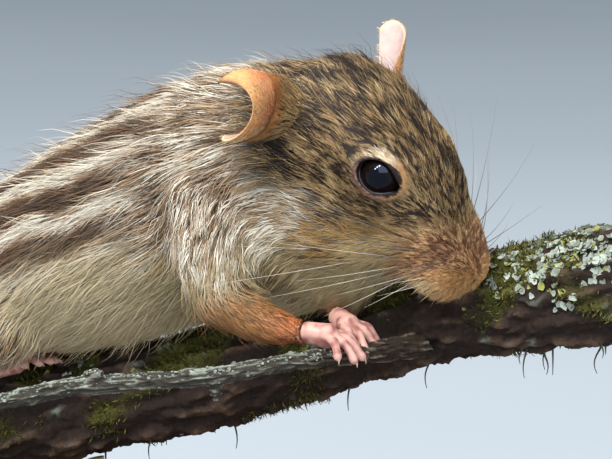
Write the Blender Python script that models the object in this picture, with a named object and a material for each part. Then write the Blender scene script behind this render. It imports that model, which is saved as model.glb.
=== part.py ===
"""Barbary striped grass mouse, life size, crouching on a forked branch over a low stand.

Lengths are in millimetres in the tables below and become metres in the meshes.
+X runs from rump to nose, +Y is the animal's left side and +Z is up.
The origin is the centre of the underside of the stand's base.
"""
import math
import random

import bmesh
import bpy
from mathutils import Matrix, Vector

MM = 0.001
TRUNK_TRIANGLES = 5200              # of the head, neck and torso before they are parted
NECK_TRIANGLES = 1300
TORSO_TRIANGLES = 2900
GAP = 0.3                   # space kept between pieces that touch
TURN = 2.0 * math.pi

# Head: its own axes are x to the nose, y to the left, z to the crown
HEAD_CENTRE = (39.2, -0.4, 66.8)     # midway between the eyes
HEAD_YAW = 2.0
HEAD_PITCH = 29.0                   # nose down
HEAD_ROLL = 10.0                    # left side up
EYE_RADIUS = 2.9
EYE_PLACE = (0.2, 4.1, 0.2)
EYE_AXIS = (0.36, 1.0, 0.33)        # the way the left eye looks
EYE_SLANT = (1.0, 0.0, 0.05)      # from the outer corner of the lids to the inner one
LID_THICK = 0.6
LID_OPENING = (2.65, 2.0)          # half the width and half the height between the lids
LID_CORNER = 1.12                   # how far the inner corner is drawn out

# Stations of the head: along the head, half width, top, bottom and widest height of the coat
HEAD_STATIONS = (
    (14.3, 1.8, -4.8, -7.8, -6.2),
    (13.5, 3.1, -3.9, -9.3, -6.4),
    (12.0, 4.1, -2.9, -10.3, -6.4),
    (10.0, 4.8, -1.6, -10.9, -5.8),
    (7.0, 5.6, 0.9, -11.3, -4.4),
    (3.5, 6.6, 3.8, -11.9, -2.8),
    (0.0, 7.4, 5.3, -12.4, -1.8),
    (-4.0, 8.6, 6.6, -13.0, -1.8),
    (-8.0, 9.6, 7.3, -13.4, -2.4),
    (-12.0, 10.2, 7.5, -13.6, -2.8),
    (-17.0, 10.6, 7.8, -13.6, -2.8),
)

# Lumps of the head: place and three radii; one off the middle has a twin on the other side
HEAD_LUMPS = {
    "whisker pad": ((11.2, 2.3, -7.8), (3.5, 2.8, 2.7)),
    "cheek": ((-4.5, 5.0, -6.0), (6.5, 4.6, 6.0)),
    "chin": ((6.6, 0.0, -10.6), (4.4, 2.7, 2.0)),
    "nose pad": ((14.3, 0.0, -5.9), (1.3, 1.7, 1.3)),
}

# Mouth: a half ring round the chin; nostrils: two small eggs in the nose pad
MOUTH_BACK = 5.6                    # where the corners of the mouth are
MOUTH_REACH = 7.2                   # from there to the lip's tip
MOUTH_HALF_WIDTH = 4.4
MOUTH_HEIGHT = -9.6
MOUTH_DIP = 0.8
MOUTH_LINE_RADIUS = 0.42
NOSTRIL_PLACE = (14.9, 1.25, -5.9)
NOSTRIL_RADII = (1.1, 0.45, 0.55)

# Stations of the trunk: X, middle Y, top Z, bottom Z, half width
TRUNK_STATIONS = (
    (27.0, 0.0, 78.0, 52.0, 9.0),
    (22.0, -0.6, 79.0, 49.0, 11.5),
    (16.0, -1.4, 78.6, 46.5, 12.8),
    (8.0, -2.2, 76.4, 43.6, 14.0),
    (-1.0, -3.0, 72.4, 40.4, 15.2),
    (-11.0, -3.2, 67.2, 38.2, 16.0),
    (-20.0, -3.2, 62.2, 37.0, 16.0),
    (-28.0, -3.0, 57.6, 36.2, 14.8),
    (-35.0, -2.6, 53.4, 36.2, 12.0),
    (-40.0, -2.4, 50.2, 37.6, 8.2),
    (-43.2, -2.2, 47.4, 40.4, 4.0),
)
NECK_FRONT_TOP = (20.5, 79.0)       # X and Z where the neck meets the head at the nape
NECK_FRONT_LOW = (31.5, 54.0)       # and at the angle of the jaw
NECK_BACK_TOP = (11.0, 80.0)        # where the neck meets the torso
NECK_BACK_LOW = (22.5, 47.0)
THROAT_LUMPS = (((30.0, -1.0, 57.5), (9.0, 7.5, 7.5)), ((28.5, -2.0, 54.6), (8.5, 7.6, 6.4)))

# Perch: a thick branch under the body and a twig that leaves its right side
# Each point of the branch has its own radius after its place
BRANCH_POINTS = (
    (76.0, 13.0, 57.0, 7.6),
    (61.0, 11.0, 53.4, 7.4),
    (42.0, 8.6, 48.8, 6.5),
    (31.0, 6.6, 45.6, 6.4),
    (19.0, 3.6, 41.6, 6.7),
    (3.0, 0.4, 36.0, 7.0),
    (-16.0, -2.0, 31.0, 7.2),
    (-33.0, -3.0, 25.8, 7.3),
    (-58.0, -4.0, 18.0, 7.4),
)
TWIG_POINTS = (
    (39.6, 3.0, 45.0),
    (38.1, -3.9, 44.8),
    (36.8, -10.6, 44.8),
    (34.3, -15.6, 44.4),
    (26.6, -22.9, 42.7),
    (16.1, -32.5, 41.7),
    (9.3, -38.9, 39.8),
    (6.0, -42.4, 39.2),
)
TWIG_RADIUS = 1.25
TWIG_LUMPS = (((17.4, -31.3, 43.0), (1.5, 1.2, 1.0)), ((28.0, -21.6, 41.6), (0.9, 0.9, 2.0)))

# Tail: points along its middle, from the rump to the tip
TAIL_POINTS = (
    (-38.0, -2.2, 46.0),
    (-46.0, -2.2, 43.6),
    (-58.0, -2.6, 38.0),
    (-76.0, -4.4, 29.6),
    (-98.0, -8.6, 21.4),
    (-122.0, -14.6, 15.6),
    (-148.0, -22.4, 12.8),
)
TAIL_ROOT_RADIUS = 2.7
TAIL_TIP_RADIUS = 0.9
TAIL_CUTS = (0.36, 0.68)

# Stand: a flat base and two rods up to the branch
BASE_LENGTH = 112.0
BASE_WIDTH = 70.0
BASE_THICK = 5.0
BASE_CORNER = 14.0
ROD_RADIUS = 1.6
ROD_PLACES = {"stand_rod_front": (-13.0, -1.7), "stand_rod_rear": (-44.0, -3.5)}

COLOURS = {
    "fur": (0.42, 0.30, 0.18),
    "skin": (0.72, 0.45, 0.38),
    "eye": (0.02, 0.015, 0.012),
    "bark": (0.16, 0.12, 0.08),
    "stand_wood": (0.30, 0.19, 0.11),
    "stand_metal": (0.55, 0.50, 0.40),
}


def clear_scene():
    """Remove every object of the open file."""
    for old in list(bpy.data.objects):
        bpy.data.objects.remove(old)


def make_material(name, roughness=0.8, metallic=0.0):
    """A plain material in the piece's colour."""
    material = bpy.data.materials.new(name)
    material.use_nodes = True
    shader = material.node_tree.nodes["Principled BSDF"]
    shader.inputs["Base Color"].default_value = (*COLOURS[name], 1.0)
    shader.inputs["Roughness"].default_value = roughness
    shader.inputs["Metallic"].default_value = metallic
    return material


def add_object(name, form):
    """Turn a bmesh into an object of the scene."""
    bmesh.ops.triangulate(form, faces=form.faces[:])
    mesh = bpy.data.meshes.new(name)
    form.to_mesh(mesh)
    form.free()
    thing = bpy.data.objects.new(name, mesh)
    bpy.context.scene.collection.objects.link(thing)
    return thing


def spline(points, steps):
    """A smooth path through the points, with steps spans between each two of them."""
    knots = [Vector(p) for p in points]
    knots = [2 * knots[0] - knots[1]] + knots + [2 * knots[-1] - knots[-2]]
    path = []
    for a, b, c, d in zip(knots, knots[1:], knots[2:], knots[3:]):
        for k in range(steps):
            t = k / steps
            path.append(0.5 * (2 * b + (c - a) * t + (2 * a - 5 * b + 4 * c - d) * t ** 2
                               + (3 * b - a - 3 * c + d) * t ** 3))
    path.append(knots[-2])
    return path


def loft(rings):
    """A closed form through rings of points, its ends closed by fans."""
    form = bmesh.new()
    loops = [[form.verts.new(Vector(p) * MM) for p in ring] for ring in rings]
    count = len(rings[0])
    for low, high in zip(loops, loops[1:]):
        for k in range(count):
            n = (k + 1) % count
            form.faces.new((low[k], low[n], high[n], high[k]))
    for ring, flip in ((loops[0], True), (loops[-1], False)):
        middle = sum((v.co for v in ring), Vector()) / count
        centre = form.verts.new(middle)
        for k in range(count):
            n = (k + 1) % count
            form.faces.new((ring[n], ring[k], centre) if flip else (ring[k], ring[n], centre))
    bmesh.ops.recalc_face_normals(form, faces=form.faces[:])
    return form


def egg_ring(centre, side, up, half_width, top, bottom, widest, count=24, fullness=0.9):
    """A rounded ring, its top, bottom and widest height given over the centre."""
    ring = []
    for k in range(count):
        a = TURN * k / count
        across = math.copysign(abs(math.cos(a)) ** fullness, math.cos(a))
        rise = abs(math.sin(a)) ** fullness
        height = widest + rise * (top - widest if math.sin(a) > 0 else bottom - widest)
        ring.append(centre + side * (half_width * across) + up * height)
    return ring


def tube(path, radii, count=12, flatten=1.0, flat_axis=(0, 0, 1)):
    """A round or flattened tube along a path, with rounded ends."""
    rings = []
    flat_axis = Vector(flat_axis)
    spans = len(path) - 1
    for k, here in enumerate(path):
        ahead = path[min(k + 1, spans)] - path[max(k - 1, 0)]
        ahead.normalize()
        side = ahead.cross(flat_axis)
        if side.length < 0.05:
            side = ahead.cross(Vector((0, 1, 0)))
        side.normalize()
        up = side.cross(ahead)
        radius = radii[k]
        if k == 0 or k == spans:
            out = -ahead if k == 0 else ahead
            caps = [(0.55, 0.80), (0.90, 0.42)]
            if k == 0:
                caps.reverse()
            cap_rings = []
            for reach, share in caps:
                cap_rings.append(circle(here + out * radius * reach, side, up, radius * share,
                                        flatten, count))
            own = circle(here, side, up, radius, flatten, count)
            rings.extend(cap_rings + [own] if k == 0 else [own] + cap_rings)
        else:
            rings.append(circle(here, side, up, radius, flatten, count))
    return loft(rings)


def circle(centre, side, up, radius, flatten, count):
    """One ring of a tube."""
    return [centre + side * (radius * math.cos(TURN * k / count))
            + up * (radius * flatten * math.sin(TURN * k / count)) for k in range(count)]


def limb(points, radii, steps=4, count=12, flatten=1.0, flat_axis=(0, 0, 1)):
    """A tube through a few points, each with its own radius."""
    path = spline(points, steps)
    spread = []
    for k in range(len(path)):
        t = k / steps
        low = min(int(t), len(radii) - 2)
        share = t - low
        share = share * share * (3 - 2 * share)
        spread.append(radii[low] * (1 - share) + radii[low + 1] * share)
    return tube(path, spread, count, flatten, flat_axis)


def ball(centre, radii, turn=None, segments=20, rings=12):
    """An egg of three radii round a centre."""
    form = bmesh.new()
    bmesh.ops.create_uvsphere(form, u_segments=segments, v_segments=rings, radius=1.0)
    place = Matrix.Translation(Vector(centre) * MM)
    if turn is not None:
        place = place @ turn.to_4x4()
    size = Matrix.Diagonal((*[r * MM for r in radii], 1.0))
    bmesh.ops.transform(form, matrix=place @ size, verts=form.verts[:])
    return form


def join_forms(forms):
    """Put several forms in one bmesh."""
    whole = bmesh.new()
    for form in forms:
        scratch = bpy.data.meshes.new("scratch")
        form.to_mesh(scratch)
        form.free()
        whole.from_mesh(scratch)
        bpy.data.meshes.remove(scratch)
    return whole


def apply_modifiers(thing):
    """Replace the object's mesh by what its modifiers make of it."""
    graph = bpy.context.evaluated_depsgraph_get()
    mesh = bpy.data.meshes.new_from_object(thing.evaluated_get(graph))
    old = thing.data
    thing.modifiers.clear()
    thing.data = mesh
    bpy.data.meshes.remove(old)


def fuse(thing, voxel, passes, triangles):
    """Fuse overlapping forms into one smooth skin of about the given number of triangles."""
    remesh = thing.modifiers.new("fuse", "REMESH")
    remesh.mode = "VOXEL"
    remesh.voxel_size = voxel * MM
    smooth = thing.modifiers.new("soften", "SMOOTH")
    smooth.factor = 0.5
    smooth.iterations = passes
    apply_modifiers(thing)
    reduce_faces(thing, triangles)
    keep_largest(thing)


def reduce_faces(thing, triangles):
    """Collapse the mesh to about the given number of triangles."""
    now = sum(len(p.vertices) - 2 for p in thing.data.polygons)
    if now <= triangles:
        return
    fewer = thing.modifiers.new("fewer", "DECIMATE")
    fewer.ratio = triangles / now
    apply_modifiers(thing)


def keep_largest(thing):
    """Keep only the largest closed surface of a mesh."""
    form = bmesh.new()
    form.from_mesh(thing.data)
    left = set(form.verts)
    groups = []
    while left:
        stack = [left.pop()]
        group = list(stack)
        while stack:
            for edge in stack.pop().link_edges:
                for vert in edge.verts:
                    if vert in left:
                        left.discard(vert)
                        stack.append(vert)
                        group.append(vert)
        groups.append(group)
    groups.sort(key=len)
    for group in groups[:-1]:
        bmesh.ops.delete(form, geom=group, context="VERTS")
    bmesh.ops.triangulate(form, faces=form.faces[:])
    form.to_mesh(thing.data)
    form.free()


def inflated(thing, amount=GAP):
    """A copy of an object, swollen along its normals, for cutting a neighbour."""
    form = bmesh.new()
    form.from_mesh(thing.data)
    form.normal_update()
    moves = [vert.normal * (amount * MM * vert.calc_shell_factor()) for vert in form.verts]
    for vert, move in zip(form.verts, moves):
        vert.co += move
    return add_object(thing.name + "_swollen", form)


def cut_away(thing, cutters, solver="MANIFOLD"):
    """Take the cutters out of an object, then remove them."""
    for cutter in cutters:
        take = thing.modifiers.new("cut", "BOOLEAN")
        take.operation = "DIFFERENCE"
        take.solver = solver
        take.object = cutter
        apply_modifiers(thing)
        bpy.data.objects.remove(cutter)
    keep_largest(thing)


def add_to(thing, extra):
    """Join an overlapping piece to an object, then remove the piece."""
    add = thing.modifiers.new("add", "BOOLEAN")
    add.operation = "UNION"
    add.solver = "MANIFOLD"
    add.object = extra
    apply_modifiers(thing)
    bpy.data.objects.remove(extra)


def clear_of(thing, neighbours):
    """Cut an object back from its neighbours, with the gap between them."""
    cut_away(thing, [inflated(neighbour) for neighbour in neighbours])


def part_by_planes(thing, names, planes):
    """Divide an object along planes, a gap apart; each plane is a point and a normal."""
    pieces = []
    for k, name in enumerate(names):
        form = bmesh.new()
        form.from_mesh(thing.data)
        sides = []
        if k > 0:
            point, normal = planes[k - 1]
            sides.append((Vector(point), -Vector(normal)))
        if k < len(planes):
            point, normal = planes[k]
            sides.append((Vector(point), Vector(normal)))
        for point, normal in sides:
            normal = normal.normalized()
            start = (point + normal * (0.5 * GAP)) * MM
            cut = bmesh.ops.bisect_plane(form, geom=form.verts[:] + form.edges[:] + form.faces[:],
                                         plane_co=start, plane_no=normal, clear_inner=True)
            rim = [e for e in cut["geom_cut"] if isinstance(e, bmesh.types.BMEdge)]
            bmesh.ops.holes_fill(form, edges=rim)
        piece = add_object(name, form)
        keep_largest(piece)
        pieces.append(piece)
    bpy.data.objects.remove(thing)
    return pieces


def head_turn():
    """The head's rotation in the world."""
    yaw = Matrix.Rotation(math.radians(HEAD_YAW), 3, "Z")
    pitch = Matrix.Rotation(math.radians(HEAD_PITCH), 3, "Y")
    roll = Matrix.Rotation(math.radians(HEAD_ROLL), 3, "X")
    return yaw @ pitch @ roll


def on_head(x, y, z):
    """World place, in millimetres, of a point in the head's own axes."""
    return Vector(HEAD_CENTRE) + head_turn() @ Vector((x, y, z))


def head_forms():
    """The skull, cheeks, lips, jaw and lids, all in the head's axes."""
    turn = head_turn()
    forward, left, up = turn.col[0], turn.col[1], turn.col[2]
    rings = [egg_ring(Vector(HEAD_CENTRE) + forward * x, left, up, half, top, low, wide, 24, 0.82)
             for x, half, top, low, wide in HEAD_STATIONS]
    forms = [loft(rings)]
    for place, radii in HEAD_LUMPS.values():
        for side in (-1, 1) if place[1] else (1,):
            forms.append(ball(on_head(place[0], place[1] * side, place[2]), radii, turn))
    lid_radius = EYE_RADIUS + GAP + LID_THICK
    for side in (-1, 1):
        forms.append(ball(on_head(EYE_PLACE[0], EYE_PLACE[1] * side, EYE_PLACE[2]), (lid_radius,) * 3))
    return forms


def lid_opening(side):
    """The almond-shaped opening between the lids of one eye, as a cutter."""
    outward = Vector((EYE_AXIS[0], EYE_AXIS[1] * side, EYE_AXIS[2])).normalized()
    along = Vector(EYE_SLANT)
    along = (along - outward * along.dot(outward)).normalized()
    over = outward.cross(along)
    middle = Vector((EYE_PLACE[0], EYE_PLACE[1] * side, EYE_PLACE[2]))
    half_width, half_height = LID_OPENING
    count = 20
    rings = []
    for reach in (0.5, 2.0):
        ring = []
        for k in range(count):
            a = TURN * k / count
            inner = max(0.0, math.cos(a))
            across = half_width * math.cos(a) * (1.0 + (LID_CORNER - 1.0) * inner ** 4)
            rise = half_height * math.sin(a) * (1.0 - 0.3 * inner ** 2)
            place = middle + outward * (reach * EYE_RADIUS) + along * across + over * rise
            ring.append(on_head(*place))
        rings.append(ring)
    return loft(rings)


def make_trunk():
    """Head, neck and torso as one skin, before they are parted."""
    rings = [egg_ring(Vector((x, y, 0.0)), Vector((0, 1, 0)), Vector((0, 0, 1)),
                      half, top, low, 0.5 * (top + low))
             for x, y, top, low, half in TRUNK_STATIONS]
    forms = head_forms()
    forms.append(loft(rings))
    forms.append(limb((on_head(-8, 0, -2.5), (24.0, 0.0, 66.0), (14.0, -1.5, 64.0)),
                      (10.3, 12.4, 14.0), 4, 20))
    for place, radii in THROAT_LUMPS:
        forms.append(ball(place, radii))
    for side in (-1, 1):
        forms.append(limb(((33.0, 4.0 * side, 59.5), (25.0, 4.6 * side - 1.0, 58.5),
                           (16.0, 5.0 * side - 1.4, 58.0)), (6.4, 7.4, 8.4), 3, 14))
    trunk = add_object("trunk", join_forms(forms))
    fuse(trunk, 0.45, 22, TRUNK_TRIANGLES)
    return trunk


def make_eyes(trunk):
    """Two eyeballs, and the sockets that hold them."""
    eyes = []
    for name, side in (("eye_right", -1), ("eye_left", 1)):
        x, y, z = EYE_PLACE
        centre = on_head(x, y * side, z)
        eye = add_object(name, ball(centre, (EYE_RADIUS,) * 3, head_turn(), 16, 10))
        socket = add_object("socket", ball(centre, (EYE_RADIUS + GAP,) * 3, head_turn(), 18, 12))
        cut_away(trunk, [socket, add_object("opening", lid_opening(side))])
        eyes.append(eye)
    return eyes


def cut_face(head):
    """The line of the mouth and the two nostrils."""
    turn = head_turn()
    path = []
    for k in range(13):
        a = math.pi * (k / 12 - 0.5)
        path.append(on_head(MOUTH_BACK + MOUTH_REACH * math.cos(a), MOUTH_HALF_WIDTH * math.sin(a),
                            MOUTH_HEIGHT - MOUTH_DIP * math.cos(a)))
    cutters = [add_object("mouth_line", tube(path, [MOUTH_LINE_RADIUS] * len(path), 8))]
    for side in (-1, 1):
        place = on_head(NOSTRIL_PLACE[0], NOSTRIL_PLACE[1] * side, NOSTRIL_PLACE[2])
        cutters.append(add_object("nostril", ball(place, NOSTRIL_RADII, turn, 10, 8)))
    cut_away(head, cutters)


# Ears: root on the head, way the ear stands out, way its convex side faces, degrees of wrap
EARS = {
    "ear_right": {"root": (-14.2, -8.4, -0.8), "out": (-0.045, -0.96, 0.26),
                  "convex": (0.98, -0.03, 0.12), "wrap": 95.0, "length": 12.0},
    "ear_left": {"root": (-13.0, 8.5, -3.0), "out": (-0.64, 0.60, 0.45),
                 "convex": (0.743, 0.669, 0.0), "wrap": 85.0, "length": 13.6},
}
EAR_ROOT_RADIUS = 3.0
EAR_RIM_RADIUS = 4.7
EAR_THICK = 0.7


def make_ear(name, head):
    """A thin curved cup, open behind, that grows from the head."""
    shape = EARS[name]
    root = on_head(*shape["root"])
    out = Vector(shape["out"]).normalized()
    convex = Vector(shape["convex"])
    convex = (convex - out * convex.dot(out)).normalized()
    across = out.cross(convex)
    columns, rows = 12, 7
    form = bmesh.new()
    sheets = []
    for inset in (0.0, EAR_THICK):
        sheet = []
        for j in range(rows + 1):
            v = j / rows
            opening = math.sin(0.5 * math.pi * v)
            flare = EAR_ROOT_RADIUS + (EAR_RIM_RADIUS - EAR_ROOT_RADIUS) * opening - inset
            line = []
            for i in range(columns + 1):
                s = 2.0 * i / columns - 1.0
                a = math.radians(shape["wrap"]) * s * (0.75 + 0.25 * v)
                reach = shape["length"] * v * (1.0 - 0.10 * s ** 4)
                place = root + out * reach + (convex * math.cos(a) + across * math.sin(a)) * flare
                line.append(form.verts.new(place * MM))
            sheet.append(line)
        sheets.append(sheet)
    outer, inner = sheets
    for j in range(rows):
        for i in range(columns):
            for sheet, flip in ((outer, False), (inner, True)):
                a, b, c, d = sheet[j][i], sheet[j][i + 1], sheet[j + 1][i + 1], sheet[j + 1][i]
                for face in ((a, b, c), (a, c, d)):
                    form.faces.new(face[::-1] if flip else face)
    rim = [(0, i) for i in range(columns)] + [(j, columns) for j in range(rows)]
    rim += [(rows, i) for i in range(columns, 0, -1)] + [(j, 0) for j in range(rows, 0, -1)]
    for k, (j, i) in enumerate(rim):
        m, n = rim[(k + 1) % len(rim)]
        a, b = outer[j][i], outer[m][n]
        c, d = inner[m][n], inner[j][i]
        form.faces.new((a, c, b))
        form.faces.new((a, d, c))
    bmesh.ops.recalc_face_normals(form, faces=form.faces[:])
    ear = add_object(name, form)
    clear_of(ear, [head])
    return ear


LEG_TRIANGLES = 380
LEGS = {
    # each length of a leg: its points and radii
    "foreleg_right_upper": (((16.0, -9.0, 63.0), (19.5, -13.0, 56.0), (22.5, -14.6, 51.0)),
                            (6.4, 5.2, 3.8)),
    "foreleg_right_lower": (((22.5, -14.6, 50.6), (28.0, -14.4, 48.6), (33.6, -12.6, 47.6)),
                            (3.5, 2.7, 1.7)),
    "foreleg_left_upper": (((16.0, 6.6, 63.0), (20.0, 11.0, 57.4), (24.6, 10.6, 53.8)),
                           (6.4, 5.4, 3.8)),
    "foreleg_left_lower": (((25.0, 9.4, 53.8), (29.6, 2.4, 51.4), (32.2, -4.4, 48.6)),
                           (3.2, 2.5, 1.6)),
    "hindleg_right_thigh": (((-29.0, -10.5, 48.0), (-22.0, -13.5, 46.0), (-14.5, -14.5, 43.6)),
                            (7.6, 8.0, 5.4)),
    "hindleg_right_shank": (((-15.0, -14.8, 42.0), (-26.0, -13.0, 38.6), (-36.4, -10.2, 33.8)),
                            (4.0, 3.0, 1.9)),
    "hindleg_left_thigh": (((-29.0, 4.5, 48.0), (-22.0, 7.5, 46.0), (-14.5, 8.5, 43.6)),
                           (7.6, 8.0, 5.4)),
    "hindleg_left_shank": (((-15.0, 8.8, 42.0), (-26.0, 7.0, 38.6), (-36.4, 4.6, 33.8)),
                           (4.0, 3.0, 1.9)),
}


def make_leg(name, neighbours):
    """One furred length of a leg, cut back from what it touches."""
    points, radii = LEGS[name]
    leg = add_object(name, limb(points, radii, 4, 14))
    clear_of(leg, neighbours)
    reduce_faces(leg, LEG_TRIANGLES)
    return leg


FOOT_TRIANGLES = 520
FEET = {
    "forefoot_right": {"heel": (34.0, -12.2, 47.6), "toe_root": (36.6, -10.9, 47.2),
                       "ahead": (0.86, 0.30, -0.40), "toe_length": 4.6, "toes": 4,
                       "spread": 62.0, "radius": 1.6},
    "forefoot_left": {"heel": (32.6, -5.0, 48.4), "toe_root": (35.0, -5.8, 47.6),
                      "ahead": (0.86, 0.10, -0.45), "toe_length": 4.4, "toes": 4,
                      "spread": 58.0, "radius": 1.5},
    "hindfoot_right": {"heel": (-36.4, -9.8, 32.4), "toe_root": (-19.0, -9.2, 37.6),
                       "ahead": (0.93, 0.05, 0.22), "toe_length": 6.2, "toes": 5,
                       "spread": 34.0, "radius": 1.7},
    "hindfoot_left": {"heel": (-36.4, 4.4, 32.4), "toe_root": (-19.0, 3.8, 37.6),
                      "ahead": (0.93, 0.02, 0.22), "toe_length": 6.2, "toes": 5,
                      "spread": 34.0, "radius": 1.7},
}
TOE_RADII = (0.72, 0.66, 0.42)


def make_foot(name, neighbours):
    """A palm or sole with its spread, curling toes."""
    shape = FEET[name]
    heel = Vector(shape["heel"])
    toe_root = Vector(shape["toe_root"])
    ahead = Vector(shape["ahead"]).normalized()
    radius = shape["radius"]
    side = ahead.cross(Vector((0, 0, 1))).normalized()
    up = side.cross(ahead)
    middle = (heel + toe_root) * 0.5 + up * 0.2
    forms = [limb((heel, middle, toe_root), (radius * 0.9, radius, radius * 1.12), 3, 10, 0.8)]
    for k in range(shape["toes"]):
        share = k / (shape["toes"] - 1) - 0.5
        a = math.radians(shape["spread"]) * share
        way = ahead * math.cos(a) + side * math.sin(a)
        reach = shape["toe_length"] * (1.0 - 1.1 * share * share)
        start = toe_root + side * (2.3 * radius * share * 0.8)
        knuckle = start + way * (0.45 * reach) + up * 0.35
        tip = start + way * reach - up * 0.9
        forms.append(limb((start, knuckle, tip), TOE_RADII, 3, 8))
    foot = add_object(name, join_forms(forms))
    fuse(foot, 0.22, 2, FOOT_TRIANGLES)
    clear_of(foot, neighbours)
    reduce_faces(foot, FOOT_TRIANGLES)
    return foot


def make_branch():
    """The thick branch: a bent, slightly lumpy stem with cut ends."""
    draw = random.Random(7)
    steps = 3
    path = spline([point[:3] for point in BRANCH_POINTS], steps)
    sizes = [v.x for v in spline([(point[3], 0, 0) for point in BRANCH_POINTS], steps)]
    count = 16
    rings = []
    for k, here in enumerate(path):
        ahead = (path[min(k + 1, len(path) - 1)] - path[max(k - 1, 0)]).normalized()
        side = ahead.cross(Vector((0, 0, 1))).normalized()
        up = side.cross(ahead)
        ring = []
        for i in range(count):
            a = TURN * i / count
            bump = 1.0 + 0.035 * math.sin(3 * a + 0.5 * k) + 0.02 * draw.uniform(-1, 1)
            ring.append(here + (side * math.cos(a) + up * math.sin(a)) * (sizes[k] * bump))
        rings.append(ring)
    return add_object("perch_branch", loft(rings))


def make_twig(branch):
    """The lichened twig with its knob and spur."""
    path = spline(TWIG_POINTS, 4)
    share = [k / (len(path) - 1) for k in range(len(path))]
    radii = [TWIG_RADIUS * (1.45 - 0.45 * min(1.0, s * 4)) for s in share]
    rings = []
    for k, here in enumerate(path):
        ahead = (path[min(k + 1, len(path) - 1)] - path[max(k - 1, 0)]).normalized()
        side = ahead.cross(Vector((0, 0, 1))).normalized()
        rings.append(circle(here, side, side.cross(ahead), radii[k], 1.0, 8))
    twig = add_object("perch_twig", loft(rings))
    for centre, radii in TWIG_LUMPS:
        add_to(twig, add_object("lump", ball(centre, radii, None, 10, 8)))
    clear_of(twig, [branch])
    return twig


def make_tail(torso):
    """The tail in three lengths, tapered to the tip."""
    path = spline(TAIL_POINTS, 5)
    last = len(path) - 1
    radii = []
    for k in range(last + 1):
        s = k / last
        radii.append(TAIL_ROOT_RADIUS * (1 - s) ** 1.3 + TAIL_TIP_RADIUS * (1 - (1 - s) ** 1.3))
    whole = add_object("tail", tube(path, radii, 10))
    clear_of(whole, [torso])
    planes = []
    for share in TAIL_CUTS:
        k = round(share * last)
        planes.append((path[k], path[k + 1] - path[k]))
    flipped = [(point, -way) for point, way in planes]
    return part_by_planes(whole, ("tail_base", "tail_middle", "tail_tip"), flipped)


def make_base():
    """The stand's flat base, a plate with round corners and an eased top edge."""
    form = bmesh.new()
    outline = []
    for cx, cy, start in ((1, 1, 0), (-1, 1, 1), (-1, -1, 2), (1, -1, 3)):
        for k in range(7):
            a = 0.5 * math.pi * (start + k / 6)
            outline.append((cx * (0.5 * BASE_LENGTH - BASE_CORNER) + BASE_CORNER * math.cos(a),
                            cy * (0.5 * BASE_WIDTH - BASE_CORNER) + BASE_CORNER * math.sin(a)))
    rings = []
    for height, inset in ((0.0, 0.0), (BASE_THICK - 1.0, 0.0), (BASE_THICK, 1.0)):
        ring = []
        for x, y in outline:
            length = math.hypot(x, y)
            ring.append((x * (1 - inset / length), y * (1 - inset / length), height))
        rings.append(ring)
    loops = [[form.verts.new(Vector(p) * MM) for p in ring] for ring in rings]
    for low, high in zip(loops, loops[1:]):
        for k in range(len(outline)):
            n = (k + 1) % len(outline)
            form.faces.new((low[k], low[n], high[n], high[k]))
    form.faces.new(loops[0][::-1])
    form.faces.new(loops[-1])
    return add_object("stand_base", form)


def make_rods(branch):
    """Two rods from the base up to the underside of the branch."""
    path = spline([point[:3] for point in BRANCH_POINTS], 8)
    rods = []
    for name, (x, y) in ROD_PLACES.items():
        middle = min(path, key=lambda p: abs(p.x - x))
        rings = [circle(Vector((x, y, z)), Vector((1, 0, 0)), Vector((0, 1, 0)), ROD_RADIUS, 1.0, 16)
                 for z in (BASE_THICK + GAP, middle.z)]
        rod = add_object(name, loft(rings))
        clear_of(rod, [branch])
        rods.append(rod)
    return rods


def finish(things, material):
    """Give pieces their material and smooth shading."""
    for thing in things:
        thing.data.materials.clear()
        thing.data.materials.append(material)
        thing.data.shade_smooth()


def build():
    """Make every piece, from the perch and feet up to the body."""
    clear_scene()
    branch = make_branch()
    twig = make_twig(branch)
    perch = [branch, twig]
    feet = []
    for name in FEET:
        feet.append(make_foot(name, perch + feet))
    lower = []
    for name in LEGS:
        if name.endswith(("lower", "shank")):
            lower.append(make_leg(name, perch + feet))
    trunk = make_trunk()
    eyes = make_eyes(trunk)
    clear_of(trunk, perch + lower + feet)
    front = Vector((NECK_FRONT_TOP[0] - NECK_FRONT_LOW[0], 0, NECK_FRONT_TOP[1] - NECK_FRONT_LOW[1]))
    back = Vector((NECK_BACK_TOP[0] - NECK_BACK_LOW[0], 0, NECK_BACK_TOP[1] - NECK_BACK_LOW[1]))
    level = Vector((0, 1, 0))
    planes = [((NECK_FRONT_TOP[0], 0, NECK_FRONT_TOP[1]), level.cross(front)),
              ((NECK_BACK_TOP[0], 0, NECK_BACK_TOP[1]), level.cross(back))]
    head, neck, torso = part_by_planes(trunk, ("head", "neck", "torso"), planes)
    reduce_faces(neck, NECK_TRIANGLES)
    reduce_faces(torso, TORSO_TRIANGLES)
    cut_face(head)
    ears = [make_ear(name, head) for name in EARS]
    tail = make_tail(torso)
    upper = []
    for name in LEGS:
        if name.endswith(("upper", "thigh")):
            upper.append(make_leg(name, [torso, neck, head] + lower + perch + feet + upper))
    base = make_base()
    rods = make_rods(branch)
    finish([head, neck, torso] + lower + upper + tail, make_material("fur"))
    finish(ears + feet, make_material("skin", 0.6))
    finish(eyes, make_material("eye", 0.1))
    finish(perch, make_material("bark", 0.9))
    finish([base], make_material("stand_wood", 0.5))
    finish(rods, make_material("stand_metal", 0.3, 1.0))


build()
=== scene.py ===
"""Looks of the striped grass mouse: skin, coat, eyes, ears, feet, whiskers, perch, stand and studio.

Lengths are in millimetres in the tables and in the arrays, and become metres in the meshes.
"""
import math

import bmesh
import bpy
import numpy as np
from mathutils import Matrix, Vector, noise
from mathutils.kdtree import KDTree


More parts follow.
